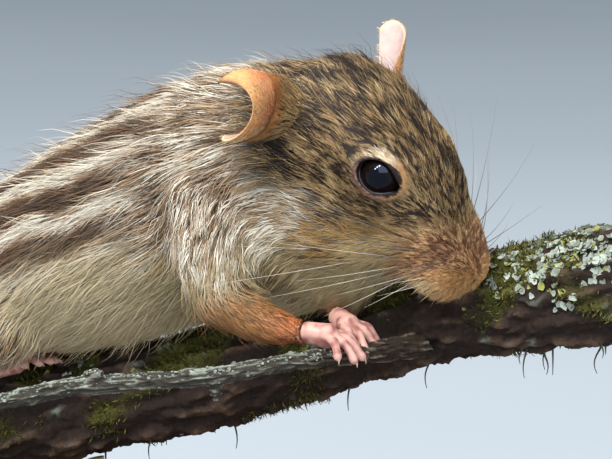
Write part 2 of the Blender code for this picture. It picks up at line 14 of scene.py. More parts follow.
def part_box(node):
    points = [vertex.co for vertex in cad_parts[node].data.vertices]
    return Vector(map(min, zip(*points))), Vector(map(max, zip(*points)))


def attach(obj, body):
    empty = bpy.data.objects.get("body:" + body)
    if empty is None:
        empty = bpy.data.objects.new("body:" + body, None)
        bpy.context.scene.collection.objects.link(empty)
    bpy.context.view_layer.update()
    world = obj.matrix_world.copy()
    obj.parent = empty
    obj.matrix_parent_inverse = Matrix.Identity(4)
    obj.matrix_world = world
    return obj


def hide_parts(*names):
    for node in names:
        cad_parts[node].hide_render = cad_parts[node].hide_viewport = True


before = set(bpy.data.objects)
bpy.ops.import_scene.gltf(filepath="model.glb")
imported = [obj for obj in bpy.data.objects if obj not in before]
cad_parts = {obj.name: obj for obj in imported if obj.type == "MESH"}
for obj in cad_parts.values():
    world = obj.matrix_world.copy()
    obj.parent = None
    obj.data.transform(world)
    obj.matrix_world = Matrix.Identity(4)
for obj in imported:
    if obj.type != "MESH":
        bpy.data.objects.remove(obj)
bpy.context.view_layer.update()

MM = 0.001
TURN = 2.0 * math.pi
# The animal's right side and its left
SIDES = (-1, 1)

# The photo: its size, the pixels to a millimetre at the point the camera looks at, and the view
PHOTO_WIDTH = 612
PHOTO_SCALE = 8.47
VIEW_AZIMUTH = 42.0
VIEW_ELEVATION = 8.0
VIEW_POINT = (34.25, -12.68, 60.0)
VIEW_DISTANCE = 450.0
SENSOR_WIDTH = 36.0
FLOOR_HALF = 6.0                    # metres

# The head's own axes: x to the nose, y to the left, z to the crown
HEAD_CENTRE = np.array((39.2, -0.4, 66.8))
HEAD_YAW = 2.0
HEAD_PITCH = 29.0
HEAD_ROLL = 10.0
EYE_RADIUS = 2.9
EYE_PLACE = (0.2, 4.1, 0.2)
EYE_AXIS = (0.36, 1.0, 0.33)
EYE_SLANT = (1.0, 0.0, 0.05)
LID_OPENING = (2.65, 2.0)
LID_CORNER = 1.26
LID_POINTS = 40
NOSE_TIP = (15.0, 0.0, -6.0)

# Trunk, from neck to rump: X, middle Y, top Z, bottom Z, half width
TRUNK_STATIONS = np.array((
    (27.0, 0.0, 78.0, 52.0, 9.0),
    (16.0, -1.4, 78.6, 46.5, 12.8),
    (-1.0, -3.0, 72.4, 40.4, 15.2),
    (-20.0, -3.2, 62.2, 37.0, 16.0),
    (-35.0, -2.6, 53.4, 36.2, 12.0),
    (-43.2, -2.2, 47.4, 40.4, 4.0),
))

LIMBS = ("foreleg_right_upper", "foreleg_right_lower", "foreleg_left_upper", "foreleg_left_lower",
         "hindleg_right_thigh", "hindleg_right_shank", "hindleg_left_thigh", "hindleg_left_shank")
TAIL = ("tail_base", "tail_middle", "tail_tip")
FEET_NODES = ("forefoot_right", "forefoot_left", "hindfoot_right", "hindfoot_left")
EAR_NODES = ("ear_right", "ear_left")

# Coat of each node: depth, length, width of a tuft, rise at the root and at the tip in degrees,
# how far tufts gather into locks, and the way the coat lies; the head's and trunk's ways are worked out
COAT = {
    "head": (1.1, 3.6, 0.12, 22.0, 3.0, 0.30, (0.0, 0.0, 0.0)),
    "neck": (2.1, 6.4, 0.17, 25.0, 5.0, 0.45, (0.0, 0.0, 0.0)),
    "torso": (2.1, 6.8, 0.18, 24.0, 3.0, 0.20, (0.0, 0.0, 0.0)),
    "foreleg_right_upper": (1.3, 5.0, 0.16, 24.0, 4.0, 0.50, (0.15, -0.35, -0.90)),
    "foreleg_right_lower": (0.8, 2.6, 0.13, 20.0, 4.0, 0.30, (0.85, 0.10, -0.45)),
    "foreleg_left_upper": (1.3, 5.0, 0.16, 24.0, 4.0, 0.50, (0.20, 0.35, -0.90)),
    "foreleg_left_lower": (0.8, 2.6, 0.13, 20.0, 4.0, 0.30, (0.40, -0.75, -0.50)),
    "hindleg_right_thigh": (1.9, 6.0, 0.18, 24.0, 3.0, 0.25, (-0.55, -0.15, -0.80)),
    "hindleg_right_shank": (0.8, 3.0, 0.14, 22.0, 4.0, 0.30, (-0.80, 0.15, -0.55)),
    "hindleg_left_thigh": (1.9, 6.0, 0.18, 24.0, 3.0, 0.25, (-0.55, 0.15, -0.80)),
    "hindleg_left_shank": (0.8, 3.0, 0.14, 22.0, 4.0, 0.30, (-0.80, -0.15, -0.55)),
    "tail_base": (0.35, 1.6, 0.12, 16.0, 6.0, 0.10, (-0.90, -0.05, -0.42)),
    "tail_middle": (0.22, 1.2, 0.11, 16.0, 6.0, 0.05, (-0.94, -0.20, -0.28)),
    "tail_tip": (0.15, 1.0, 0.10, 16.0, 6.0, 0.05, (-0.95, -0.27, -0.12)),
}


def srgb(red, green, blue):
    """A colour read as 0 to 255 on the screen, in the renderer's linear values."""
    value = np.array((red, green, blue)) / 255.0
    return np.where(value <= 0.04045, value / 12.92, ((value + 0.055) / 1.055) ** 2.4)


def unit(vectors):
    """Vectors of length one."""
    return vectors / np.maximum(np.linalg.norm(vectors, axis=-1, keepdims=True), 1e-9)


def ease(low, high, value):
    """0 below low, 1 above high, and smooth between."""
    share = np.clip((value - low) / (high - low), 0.0, 1.0)
    return share * share * (3.0 - 2.0 * share)


def column(values):
    """A row of numbers as one column, to weigh colours or vectors with."""
    return np.asarray(values)[:, None]


def dot(first, second):
    """Product of two rows of vectors, row by row, as one column."""
    return (first * second).sum(axis=1, keepdims=True)


def along_skin(ways, normals):
    """Ways of length one, with their rise along the normals taken off."""
    return unit(ways - normals * dot(ways, normals))


def linked(name, data):
    """A new object in the scene."""
    thing = bpy.data.objects.new(name, data)
    bpy.context.scene.collection.objects.link(thing)
    return thing


def head_turn():
    """The head's rotation in the world."""
    yaw = Matrix.Rotation(math.radians(HEAD_YAW), 3, "Z")
    pitch = Matrix.Rotation(math.radians(HEAD_PITCH), 3, "Y")
    roll = Matrix.Rotation(math.radians(HEAD_ROLL), 3, "X")
    return np.array(yaw @ pitch @ roll)


HEAD_TURN = head_turn()


def on_head(places):
    """World places of points in the head's axes."""
    return HEAD_CENTRE + np.asarray(places, dtype=float) @ HEAD_TURN.T


def in_head(places):
    """Places in the head's axes of points in the world."""
    return (places - HEAD_CENTRE) @ HEAD_TURN


def eye_centre(side):
    """World place of an eye's middle; side is -1 on the right and 1 on the left."""
    return on_head((EYE_PLACE[0], EYE_PLACE[1] * side, EYE_PLACE[2]))


def eye_axes(side):
    """The way an eye looks, along its lids to the inner corner, and across them, in the world."""
    outward = unit(np.array((EYE_AXIS[0], EYE_AXIS[1] * side, EYE_AXIS[2])))
    along = np.array(EYE_SLANT)
    along = unit(along - outward * along.dot(outward))
    over = np.cross(outward, along)
    return HEAD_TURN @ outward, HEAD_TURN @ along, HEAD_TURN @ over


def lumps(places, size, seed):
    """Smooth noise of about -1 to 1 at places, with lumps about the given size."""
    offset = Vector((seed * 17.3, seed * 5.1, seed * 9.7))
    return np.array([noise.noise(Vector(p) / size + offset) for p in places])


def new_material(name, roughness, specular):
    """A material, its shader and its tree of nodes."""
    material = bpy.data.materials.new(name)
    material.use_nodes = True
    shader = material.node_tree.nodes["Principled BSDF"]
    shader.inputs["Roughness"].default_value = roughness
    shader.inputs["Specular IOR Level"].default_value = specular
    return material, shader, material.node_tree


def noise_node(tree, scale, detail, roughness=0.55, stretch=None):
    """A noise on the object's own coordinates."""
    texture = tree.nodes.new("ShaderNodeTexNoise")
    for socket, value in (("Scale", scale), ("Detail", detail), ("Roughness", roughness)):
        texture.inputs[socket].default_value = value
    source = tree.nodes.new("ShaderNodeTexCoord").outputs["Object"]
    if stretch is not None:
        mapping = tree.nodes.new("ShaderNodeMapping")
        mapping.inputs["Scale"].default_value = stretch
        tree.links.new(source, mapping.inputs["Vector"])
        source = mapping.outputs["Vector"]
    tree.links.new(source, texture.inputs["Vector"])
    return texture.outputs["Fac"]


def ramp_node(tree, factor, *stops):
    """Colours along a factor; each stop is a position and a linear colour."""
    ramp = tree.nodes.new("ShaderNodeValToRGB")
    spots = ramp.color_ramp.elements
    while len(spots) < len(stops):
        spots.new(0.5)
    for spot, (position, colour) in zip(spots, stops):
        spot.position = position
        spot.color = (*colour, 1.0)
    tree.links.new(factor, ramp.inputs["Fac"])
    return ramp.outputs["Color"]


def grey_ramp(tree, factor, *stops):
    """Greys along a factor; each stop is a position and a brightness."""
    return ramp_node(tree, factor, *((position, (value,) * 3) for position, value in stops))


def colour_by_product(tree, shader, first, second):
    """Give the shader the product of two colours."""
    mix = tree.nodes.new("ShaderNodeMix")
    mix.data_type = "RGBA"
    mix.blend_type = "MULTIPLY"
    factor, one, other = (mix.inputs[k] for k in (0, 6, 7))
    factor.default_value = 1.0
    tree.links.new(first, one)
    tree.links.new(second, other)
    tree.links.new(mix.outputs[2], shader.inputs["Base Color"])


def paint_node(tree):
    """The colour painted on the mesh."""
    paint = tree.nodes.new("ShaderNodeAttribute")
    paint.attribute_name = "paint"
    return paint.outputs["Color"]


def bump_node(tree, shader, height, strength, distance):
    """Small relief from a height."""
    bump = tree.nodes.new("ShaderNodeBump")
    bump.inputs["Strength"].default_value = strength
    bump.inputs["Distance"].default_value = distance * MM
    tree.links.new(height, bump.inputs["Height"])
    tree.links.new(bump.outputs["Normal"], shader.inputs["Normal"])


def painted_material(name, roughness, specular, relief=None, subsurface=0.0):
    """A mottled material in the mesh's painted colour; relief is its scale, strength and depth."""
    material, shader, tree = new_material(name, roughness, specular)
    mottle = grey_ramp(tree, noise_node(tree, 900.0, 3.0), (0.3, 0.82), (0.7, 1.0))
    colour_by_product(tree, shader, paint_node(tree), mottle)
    if subsurface:
        shader.inputs["Subsurface Weight"].default_value = subsurface
        shader.inputs["Subsurface Radius"].default_value = (1.0, 0.35, 0.2)
        shader.inputs["Subsurface Scale"].default_value = 0.8 * MM
    if relief:
        scale, strength, depth = relief
        bump_node(tree, shader, noise_node(tree, scale, 5.0), strength, depth)
    return material


def set_points(mesh, points):
    """Move a mesh's points to places in millimetres."""
    mesh.vertices.foreach_set("co", (np.asarray(points) * MM).astype(np.float32).ravel())


def new_object(name, points, faces, material, colours=None, smooth=True):
    """An object from points in millimetres and triangles, with one painted colour or one at each point."""
    mesh = bpy.data.meshes.new(name)
    faces = np.asarray(faces, dtype=np.int32)
    mesh.vertices.add(len(points))
    set_points(mesh, points)
    mesh.loops.add(faces.size)
    mesh.loops.foreach_set("vertex_index", faces.ravel())
    mesh.polygons.add(len(faces))
    mesh.polygons.foreach_set("loop_start", np.arange(0, faces.size, 3, dtype=np.int32))
    mesh.update(calc_edges=True)
    if colours is not None:
        paint_mesh(mesh, colours)
    mesh.materials.append(material)
    mesh.polygons.foreach_set("use_smooth", np.full(len(faces), smooth))
    return linked(name, mesh)


def paint_mesh(mesh, colours):
    """Paint a mesh with one colour, or with one at each point."""
    layer = mesh.color_attributes.new("paint", "FLOAT_COLOR", "POINT")
    values = np.ones((len(mesh.vertices), 4), dtype=np.float32)
    values[:, :3] = colours
    layer.data.foreach_set("color", values.ravel())


def form_mesh(name, form):
    """A mesh from a bmesh, which is used up."""
    mesh = bpy.data.meshes.new(name)
    form.to_mesh(mesh)
    form.free()
    return mesh


def face_outward(mesh):
    """Turn the faces of a closed mesh outward."""
    form = bmesh.new()
    form.from_mesh(mesh)
    bmesh.ops.recalc_face_normals(form, faces=form.faces[:])
    form.to_mesh(mesh)
    form.free()


def mesh_arrays(mesh):
    """A mesh's points in millimetres and its triangles."""
    points = np.empty(len(mesh.vertices) * 3)
    mesh.vertices.foreach_get("co", points)
    mesh.calc_loop_triangles()
    triangles = np.empty(len(mesh.loop_triangles) * 3, dtype=np.int32)
    mesh.loop_triangles.foreach_get("vertices", triangles)
    return points.reshape(-1, 3) / MM, triangles.reshape(-1, 3)


def point_normals(points, triangles):
    """The normal at each point of a mesh."""
    a, b, c = (points[triangles[:, k]] for k in range(3))
    across = np.cross(b - a, c - a)
    total = np.empty_like(points)
    for axis in range(3):
        share = np.repeat(across[:, axis], 3)
        total[:, axis] = np.bincount(triangles.ravel(), weights=share, minlength=len(points))
    return unit(total)


def edges_of(triangles):
    """Each edge of a mesh once."""
    pairs = np.concatenate((triangles[:, (0, 1)], triangles[:, (1, 2)], triangles[:, (2, 0)]))
    return np.unique(np.sort(pairs, axis=1), axis=0)


def spread(values, edges, passes, share=0.5):
    """Blend values at points with those of their neighbours."""
    count = len(values)
    start = np.concatenate((edges[:, 0], edges[:, 1]))
    end = np.concatenate((edges[:, 1], edges[:, 0]))
    near = np.maximum(np.bincount(start, minlength=count), 1)
    values = np.array(values, dtype=float)
    for _ in range(passes):
        for k in range(values.shape[1]):
            mean = np.bincount(start, weights=values[end, k], minlength=count) / near
            values[:, k] += share * (mean - values[:, k])
    return values


def node_form(name, swell=0.0):
    """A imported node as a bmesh, swollen by some millimetres."""
    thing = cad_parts[name]
    form = bmesh.new()
    form.from_mesh(thing.data)
    form.transform(thing.matrix_world)
    bmesh.ops.remove_doubles(form, verts=form.verts[:], dist=1e-6)
    form.normal_update()
    moves = [vert.normal * (swell * MM) for vert in form.verts]
    for vert, move in zip(form.verts, moves):
        vert.co += move
    return form


def ball_form(centre, radius, segments=24):
    """A ball as a bmesh."""
    form = bmesh.new()
    place = Matrix.Translation(Vector(centre) * MM)
    bmesh.ops.create_uvsphere(form, u_segments=segments, v_segments=segments // 2,
                              radius=radius * MM, matrix=place)
    return form


def fused(name, forms, voxel, passes):
    """Several overlapping forms as one smooth closed mesh."""
    whole = bmesh.new()
    for form in forms:
        scratch = form_mesh("scratch", form)
        whole.from_mesh(scratch)
        bpy.data.meshes.remove(scratch)
    bmesh.ops.triangulate(whole, faces=whole.faces[:])
    thing = linked(name, form_mesh(name, whole))
    remesh = thing.modifiers.new("fuse", "REMESH")
    remesh.mode = "VOXEL"
    remesh.voxel_size = voxel * MM
    soften = thing.modifiers.new("soften", "SMOOTH")
    soften.iterations = passes
    apply_modifiers(thing)
    return thing


def grid_faces(rows, columns, closed=True):
    """Triangles of a grid of points, row after row; closed joins each row's end to its start."""
    grid = np.arange(rows * columns).reshape(rows, columns)
    beside = np.roll(grid, -1, axis=1)
    if not closed:
        grid, beside = grid[:, :-1], beside[:, :-1]
    a, b, c, d = (part.ravel() for part in (grid[:-1], beside[:-1], beside[1:], grid[1:]))
    return np.vstack((np.column_stack((a, b, c)), np.column_stack((a, c, d))))


def capped_faces(rows, sides):
    """Triangles of a tube's rings of points, and to the points of its two ends, which come last."""
    count = rows * sides
    first, last = np.arange(sides), np.arange(sides) + count - sides
    start = np.column_stack((first, np.roll(first, -1), np.full(sides, count)))
    end = np.column_stack((np.roll(last, -1), last, np.full(sides, count + 1)))
    return np.vstack((grid_faces(rows, sides)[:, ::-1], start, end))


def apply_modifiers(thing):
    """Replace the object's mesh by what its modifiers make of it."""
    graph = bpy.context.evaluated_depsgraph_get()
    mesh = bpy.data.meshes.new_from_object(thing.evaluated_get(graph))
    old = thing.data
    thing.modifiers.clear()
    thing.data = mesh
    bpy.data.meshes.remove(old)


def tube(path, radii, sides, closed_ends=True):
    """Points and triangles of a tapered tube along a path."""
    path = np.asarray(path, dtype=float)
    ahead = unit(np.gradient(path, axis=0))
    guide = np.array((0.0, 0.0, 1.0)) if abs(ahead[0][2]) < 0.9 else np.array((0.0, 1.0, 0.0))
    side = unit(np.cross(ahead, guide))
    up = np.cross(side, ahead)
    angle = TURN * np.arange(sides) / sides
    ring = side[:, None] * np.cos(angle)[None, :, None] + up[:, None] * np.sin(angle)[None, :, None]
    points = (path[:, None] + ring * np.asarray(radii)[:, None, None]).reshape(-1, 3)
    if not closed_ends:
        return points, grid_faces(len(path), sides)[:, ::-1]
    points = np.vstack((points, path[0], path[-1] + ahead[-1] * radii[-1]))
    return points, capped_faces(len(path), sides)


def joined(parts):
    """Several pairs of points and triangles as one."""
    points, faces, count = [], [], 0
    for part_points, part_faces in parts:
        points.append(part_points)
        faces.append(np.asarray(part_faces) + count)
        count += len(part_points)
    return np.vstack(points), np.vstack(faces)


def smooth_path(points, steps):
    """A smooth path through points."""
    knots = [np.asarray(p, dtype=float) for p in points]
    knots = [2 * knots[0] - knots[1]] + knots + [2 * knots[-1] - knots[-2]]
    path = []
    for a, b, c, d in zip(knots, knots[1:], knots[2:], knots[3:]):
        for k in range(steps):
            t = k / steps
            path.append(0.5 * (2 * b + (c - a) * t + (2 * a - 5 * b + 4 * c - d) * t ** 2
                               + (3 * b - a - 3 * c + d) * t ** 3))
    path.append(knots[-2])
    return np.array(path)


# Markings

def body_place(places):
    """How far round the trunk each place lies: 0 on the spine, 180 degrees under the belly."""
    x = places[:, 0]
    order = TRUNK_STATIONS[::-1]
    middle_y, top, low, half = (np.interp(x, order[:, 0], order[:, k]) for k in range(1, 5))
    across = (places[:, 1] - middle_y) / half
    rise = (places[:, 2] - 0.5 * (top + low)) / (0.5 * (top - low))
    return np.degrees(np.arctan2(np.abs(across), rise))


STRIPE_ANGLE = 23.0                 # degrees round the trunk from one dark stripe to the next
FLANK_EDGE = 104.0                  # degrees round the trunk where the stripes end and the belly begins

PALE = srgb(228, 219, 200)
DARK = srgb(68, 50, 40)
OCHRE = srgb(158, 118, 74)
BELLY = srgb(202, 184, 146)
CROWN_DARK = srgb(42, 30, 23)
CROWN_BUFF = srgb(156, 124, 80)
CROWN_PALE_AND_GLINT = srgb(218, 194, 150)
CHEEK = srgb(184, 144, 86)
FACE_PALE = srgb(222, 192, 138)
MUZZLE = srgb(178, 126, 88)
MUZZLE_DARK = srgb(104, 68, 50)
LIP_GOLD = srgb(206, 152, 92)
LIP_CREAM = srgb(222, 200, 152)
EYE_CREAM = srgb(252, 230, 196)
EYE_ORANGE = srgb(200, 152, 102)
EYE_PINK = srgb(160, 122, 104)
# Cream fur of the throat and chest, dulled to olive as painted shade under the head and neck.
THROAT_AND_SHADE = srgb(174, 156, 114)
ARM = srgb(172, 122, 74)
WRIST = srgb(196, 116, 66)
SKIN_PINK = srgb(216, 166, 152)
TAIL_TOP = srgb(74, 54, 40)
TAIL_LOW = srgb(176, 146, 104)
LIP_PALE = srgb(232, 186, 132)
LID_PALE = srgb(176, 132, 120)
LID_DARK = srgb(64, 44, 42)
LID_EDGE = srgb(30, 20, 18)
MOUTH_RED_AND_SHADE = srgb(104, 52, 48)


def layered(base, *coats):
    """A colour with others laid over it in turn, each as far as its share at each place."""
    for colour, share in coats:
        base = blend(base, colour, share)
    return base


def lid_gap(places):
    """How far each place is from the nearer opening of the lids."""
    return np.min([lid_place(places, side)[0] for side in SIDES], axis=0)


def blend(first, second, share):
    """Colours mixed by a share at each place."""
    return first * (1.0 - column(share)) + second * column(share)


def face_place(local):
    """Places across the side of the face, ahead and up; the same on both sides."""
    x, y, z = local.T
    side = np.abs(y)
    return 11.9 + 0.67 * x - 0.70 * side + 0.25 * z, 7.5 - 0.56 * x - 0.25 * side + 0.79 * z


def lid_place(places, side):
    """How far each place is from the opening of the lids, and its place ahead of and above the eye."""
    outward, along, over = eye_axes(side)
    offset = places - eye_centre(side)
    ahead, above = offset @ along, (offset @ over) * -side
    long = np.where(ahead > 0.0, LID_OPENING[0] * LID_CORNER, LID_OPENING[0])
    ratio = np.hypot(ahead / long, above / LID_OPENING[1])
    facing = offset @ outward
    return np.where(facing > 0.0, (ratio - 1.0) * 2.3, 9.0), ahead, above


def ruff_colours(streak, tone, round_body):
    """Long, pale and brown tufts of the neck and shoulder."""
    return layered(PALE,
                   (OCHRE, ease(0.28, 0.50, streak) * 0.85),
                   (DARK, ease(0.66, 0.82, streak + 0.25 * (tone - 0.5)) * 0.9),
                   # Underside of the neck: cream fur with painted shade.
                   (THROAT_AND_SHADE, ease(102.0, 126.0, round_body + 16.0 * (streak - 0.5)) * 0.9))


def muzzle_colours(ahead, rise, ragged, mixed):
    """Colour of the muzzle, rufous below and darker on the bridge, and how far it reaches."""
    brow = ease(-3.4, 0.2, rise)
    patch = ease(1.3, 0.2, np.hypot((ahead - 15.7) / 2.2, (rise + 3.3) / 1.8))
    muzzle = layered(MUZZLE,
                     (CROWN_BUFF, brow * 0.6),
                     (MUZZLE_DARK, ease(0.56, 0.70, mixed + 0.20 * brow) * 0.9),
                     (LIP_PALE, ease(0.40, 0.26, mixed) * 0.9),
                     (MUZZLE_DARK, patch * 0.45),
                     (LIP_GOLD, ease(-4.2, -5.6, rise + 0.8 * ragged) * 0.65),
                     (LIP_CREAM, ease(-5.2, -6.6, rise) * ease(17.0, 13.0, ahead) * 0.8))
    lead, drop = ahead - 15.8, rise + 3.6
    reach = np.hypot(np.where(lead > 0.0, lead / 8.0, lead / 4.8),
                     np.where(drop > 0.0, drop / 3.7, drop / 5.0))
    return muzzle, ease(1.30, 0.72, reach + 0.55 * (mixed - 0.5))


def ring_colours(places, side, tone, mixed):
    """Colour of the pale ring round an eye, pink below and orange ahead, and how far it reaches."""
    gap, lead, above = lid_place(places, side)
    ring = layered(EYE_CREAM,
                   (EYE_ORANGE, ease(0.6, 2.4, lead)),
                   (EYE_ORANGE * 0.55, ease(0.68, 0.9, tone) * 0.5),
                   (EYE_PINK, ease(0.6, -0.8, above) * ease(2.6, 1.0, lead)))
    width = 0.66 * ease(-0.4, 1.6, above) * ease(-3.2, -0.6, lead)
    width = 0.22 + width + 0.32 * ease(0.2, 2.2, lead) * ease(-0.6, 1.0, above)
    crest = 3.4 if side < 0 else 5.0
    width = width * ease(crest, crest + 1.6, np.abs(in_head(places)[:, 1]))
    return ring, 0.92 * ease(width + 0.45, width - 0.35, gap + 1.3 * (mixed - 0.5))


def face_colours(places, tone, streak):
    """Colour of the head: ticked crown, ringed eyes, rufous muzzle, ochre cheeks and pale throat."""
    ahead, rise = face_place(in_head(places))
    mixed = 0.68 * streak + 0.32 * tone
    ragged = tone - 0.5
    cheek = layered(CHEEK,
                    (CROWN_DARK, ease(0.60, 0.76, mixed) * 0.8),
                    (FACE_PALE, 0.7 * ease(0.30, 0.10, mixed)))
    pale = ease(1.3, 0.6, np.hypot((ahead - 8.6) / 4.6, (rise + 2.6) / 1.8) + 0.3 * ragged)
    face = layered(CROWN_DARK,
                   (CROWN_BUFF, ease(0.50, 0.64, mixed)),
                   # Pale tips of the crown's hairs, partly a painted golden highlight.
                   (CROWN_PALE_AND_GLINT, ease(0.74, 0.88, mixed) * (0.5 + 0.5 * ease(4.0, -4.0, ahead))),
                   (cheek, ease(1.4, -1.6, rise + 1.6 * ragged) * ease(13.0, 9.5, ahead)),
                   (FACE_PALE, pale * 0.75),
                   # Throat under the chin: cream fur with painted shade.
                   (THROAT_AND_SHADE, ease(-3.0, -4.8, rise + 0.8 * ragged) * ease(12.0, 9.0, ahead)),
                   (THROAT_AND_SHADE, ease(-4.8, -6.0, rise)),
                   muzzle_colours(ahead, rise, ragged, mixed),
                   *(ring_colours(places, side, tone, mixed) for side in SIDES))
    return face, ahead, rise


def back_colours(places, round_body, tone, streak):
    """Pale and dark stripes along the trunk, and its plain underside."""
    wave = lumps(places, 9.0, 1) * 0.22 + lumps(places, 3.4, 2) * 0.14
    stripe = np.cos(TURN * (round_body / STRIPE_ANGLE + wave)) + 0.35 * (streak - 0.5)
    dark = ease(-0.25, 0.30, stripe)
    edge = ease(FLANK_EDGE - 14.0, FLANK_EDGE + 8.0, round_body + 12.0 * (streak - 0.5))
    return layered(PALE,
                   (OCHRE, ease(-0.9, -0.1, stripe) * 0.8),
                   (DARK, dark * 0.92),
                   (OCHRE, 0.6 * ease(0.66, 0.95, tone) * dark),
                   (OCHRE * 0.85, 0.55 * ease(30.0, 8.0, round_body) * ease(0.3, 0.7, tone)),
                   (BELLY, edge))


def markings(places, weights, tone, streak):
    """Colour at each place: of the trunk, head, legs and tail, mixed by how much each holds it.

    tone is each tuft's own random number from 0 to 1, and streak that of the lock it belongs to.
    """
    x, _, z = places.T
    round_body = body_place(places)
    mixed = 0.55 * streak + 0.45 * tone
    uneven = streak - 0.5
    ruff = ruff_colours(streak, tone, round_body)
    back = back_colours(places, round_body, tone, streak)
    back = blend(back, ruff, ease(3.0, 12.0, x) * ease(25.0, 50.0, round_body))
    face, ahead, rise = face_colours(places, tone, streak)
    face = blend(face, ruff, ease(0.8, -3.2, ahead + 5.0 * uneven) * ease(6.0, 3.5, rise))
    arm = layered(ARM,
                  (DARK, ease(0.56, 0.80, mixed) * 0.75),
                  (WRIST, ease(28.0, 33.0, x) * ease(0.85, 0.6, mixed)))
    arm = blend(ruff, arm, ease(54.0, 49.5, z - 0.25 * (x - 24.0) + 2.5 * uneven))
    thigh = layered(PALE,
                    (OCHRE, ease(0.25, 0.55, mixed)),
                    (DARK, ease(0.60, 0.80, mixed) * 0.7))
    tail = blend(TAIL_TOP, TAIL_LOW, ease(0.2, -0.5, weights["tail_up"] + 0.3 * (tone - 0.5)))
    parts = {"torso": back, "neck": ruff, "head": face, "fore": arm, "hind": thigh, "tail": tail}
    colours = sum(part * column(weights[group]) for group, part in parts.items())
    return np.clip(colours, 0.0, 1.0)


GROUPS = {
    "head": ("head",),
    "neck": ("neck",),
    "torso": ("torso",),
    "fore": LIMBS[:4],
    "hind": LIMBS[4:],
    "tail": TAIL,
}


def group_weights(shares, names, normals):
    """How much each group of nodes holds each place."""
    weights = {}
    for group, members in GROUPS.items():
        weights[group] = sum(shares[:, names.index(member)] for member in members)
    weights["tail_up"] = normals[:, 2]
    return weights


# Skin

# The skin's grain, how far the solids swell before they fuse, and the ball round each eye
SKIN_VOXEL = 0.48
SKIN_SWELL = 0.22
SOCKET_RADIUS = 3.5
# Balls that fill hollows between the solids: place and radius
SKIN_FILLS = (((21.3, -4.4, 50.6), 5.0), ((24.6, -3.6, 51.2), 4.6), ((22.5, 0.0, 71.8), 7.4))


def make_skin():
    """The body's skin, inside the solids by the coat's depth, and what the coat needs to know of it."""
    names = list(COAT)
    forms = [node_form(name, SKIN_SWELL) for name in names]
    forms += [ball_form(eye_centre(side), SOCKET_RADIUS) for side in SIDES]
    forms += [ball_form(centre, radius) for centre, radius in SKIN_FILLS]
    skin = fused("skin", forms, SKIN_VOXEL, 6)
    points, triangles = mesh_arrays(skin.data)
    edges = edges_of(triangles)
    owners, tree = node_tree(names)
    shares = np.zeros((len(points), len(names)))
    shares[np.arange(len(points)), owners[nearest(tree, points)]] = 1.0
    shares = spread(shares, edges, 24)
    head = shares[:, names.index("head")]
    trunk = shares[:, names.index("neck")] + shares[:, names.index("torso")]
    nape = np.clip(5.0 * head * trunk + head * ease(-8.5, -12.5, in_head(points)[:, 0]), 0.0, 1.0)
    nape = spread(column(nape), edges, 12)[:, 0]
    for _ in range(3):
        points = blend(points, spread(points, edges, 60), nape)
    coat = skin_coat(points, shares, names, head, trunk)
    for _ in range(3):
        normals = point_normals(points, triangles)
        points = points - normals * coat[:, :1] / 3.0
        points = spread(points, edges, 3, 0.4)
    points = press_mouth(points, point_normals(points, triangles))
    normals = point_normals(points, triangles)
    way = coat_way(points, normals, shares, names, edges)
    set_points(skin.data, points)
    skin.data.update()
    return skin, {"points": points, "triangles": triangles, "normals": normals, "way": way,
                  "coat": coat, "shares": shares, "names": names, "tree": point_tree(points)}


def lip_edge(local):
    """How much of the lip's hanging fringe each place in the head's axes has."""
    return ease(-6.2, -8.4, local[:, 2]) * ease(4.5, 7.5, local[:, 0])


def skin_coat(points, shares, names, head, trunk):
    """Depth, length, width, rises and gathering of the coat at each point of the skin."""
    coat = shares @ np.array([COAT[name][:6] for name in names])
    local = in_head(points)
    length = np.interp(local[:, 0], (-17, -10, -4, 2, 6, 10, 13, 15),
                       (5.2, 4.6, 3.9, 3.1, 2.3, 1.2, 0.8, 0.7))
    length = np.minimum(length, 0.55 + 0.75 * np.maximum(lid_gap(points), 0.0)) + 1.1 * lip_edge(local)
    width = np.interp(length, (0.9, 2.4, 5.0), (0.085, 0.115, 0.15))
    for k, value in enumerate((np.clip(0.32 * length, 0.22, 1.9), length, width)):
        coat[:, k] = coat[:, k] * (1 - head) + value * head
    muzzle = ease(7.5, 11.5, local[:, 0]) * head
    coat[:, 2] += 0.03 * muzzle
    coat[:, 3] += 22.0 * muzzle
    coat[:, 4] += 20.0 * muzzle
    coat[:, 1] *= 1.0 - 0.25 * ease(95.0, 125.0, body_place(points)) * trunk
    limit = np.min([np.linalg.norm(points - np.array(FEET[name]["heel"]), axis=1) for name in FEET], axis=0)
    coat[:, 1] = np.minimum(coat[:, 1], 0.7 + 0.45 * limit)
    coat[:, 0] = np.minimum(coat[:, 0], 0.45 + 0.16 * limit)
    return coat


# The mouth: the line of the lips round the muzzle, and the cleft from nose to mouth, in the head's axes
MOUTH = {"back": 5.6, "reach": 7.2, "half_width": 4.4, "height": -9.7, "dip": 0.8}
CLEFT = ((14.6, 0.0, -7.0), (14.2, 0.0, -8.2), (13.0, 0.0, -9.6))
NOSE_PAD = ((13.95, 0.0, -6.1), (1.05, 1.30, 0.95))


def mouth_lines():
    """World points along the line of the lips and along the cleft."""
    angle = np.linspace(-0.5 * math.pi, 0.5 * math.pi, 60)
    ahead = MOUTH["back"] + MOUTH["reach"] * np.cos(angle)
    height = MOUTH["height"] - MOUTH["dip"] * np.cos(angle) ** 2
    lips = np.column_stack((ahead, MOUTH["half_width"] * np.sin(angle), height))
    return np.vstack((on_head(lips), on_head(smooth_path(CLEFT, 8))))


def from_mouth(points):
    """Distance of places from the lips and the cleft; places far behind count as far."""
    lines = mouth_lines()
    distance = np.full(len(points), 9.0)
    near = np.flatnonzero(in_head(points)[:, 0] > 3.0)
    distance[near] = np.linalg.norm(points[near, None] - lines[None], axis=2).min(axis=1)
    return distance


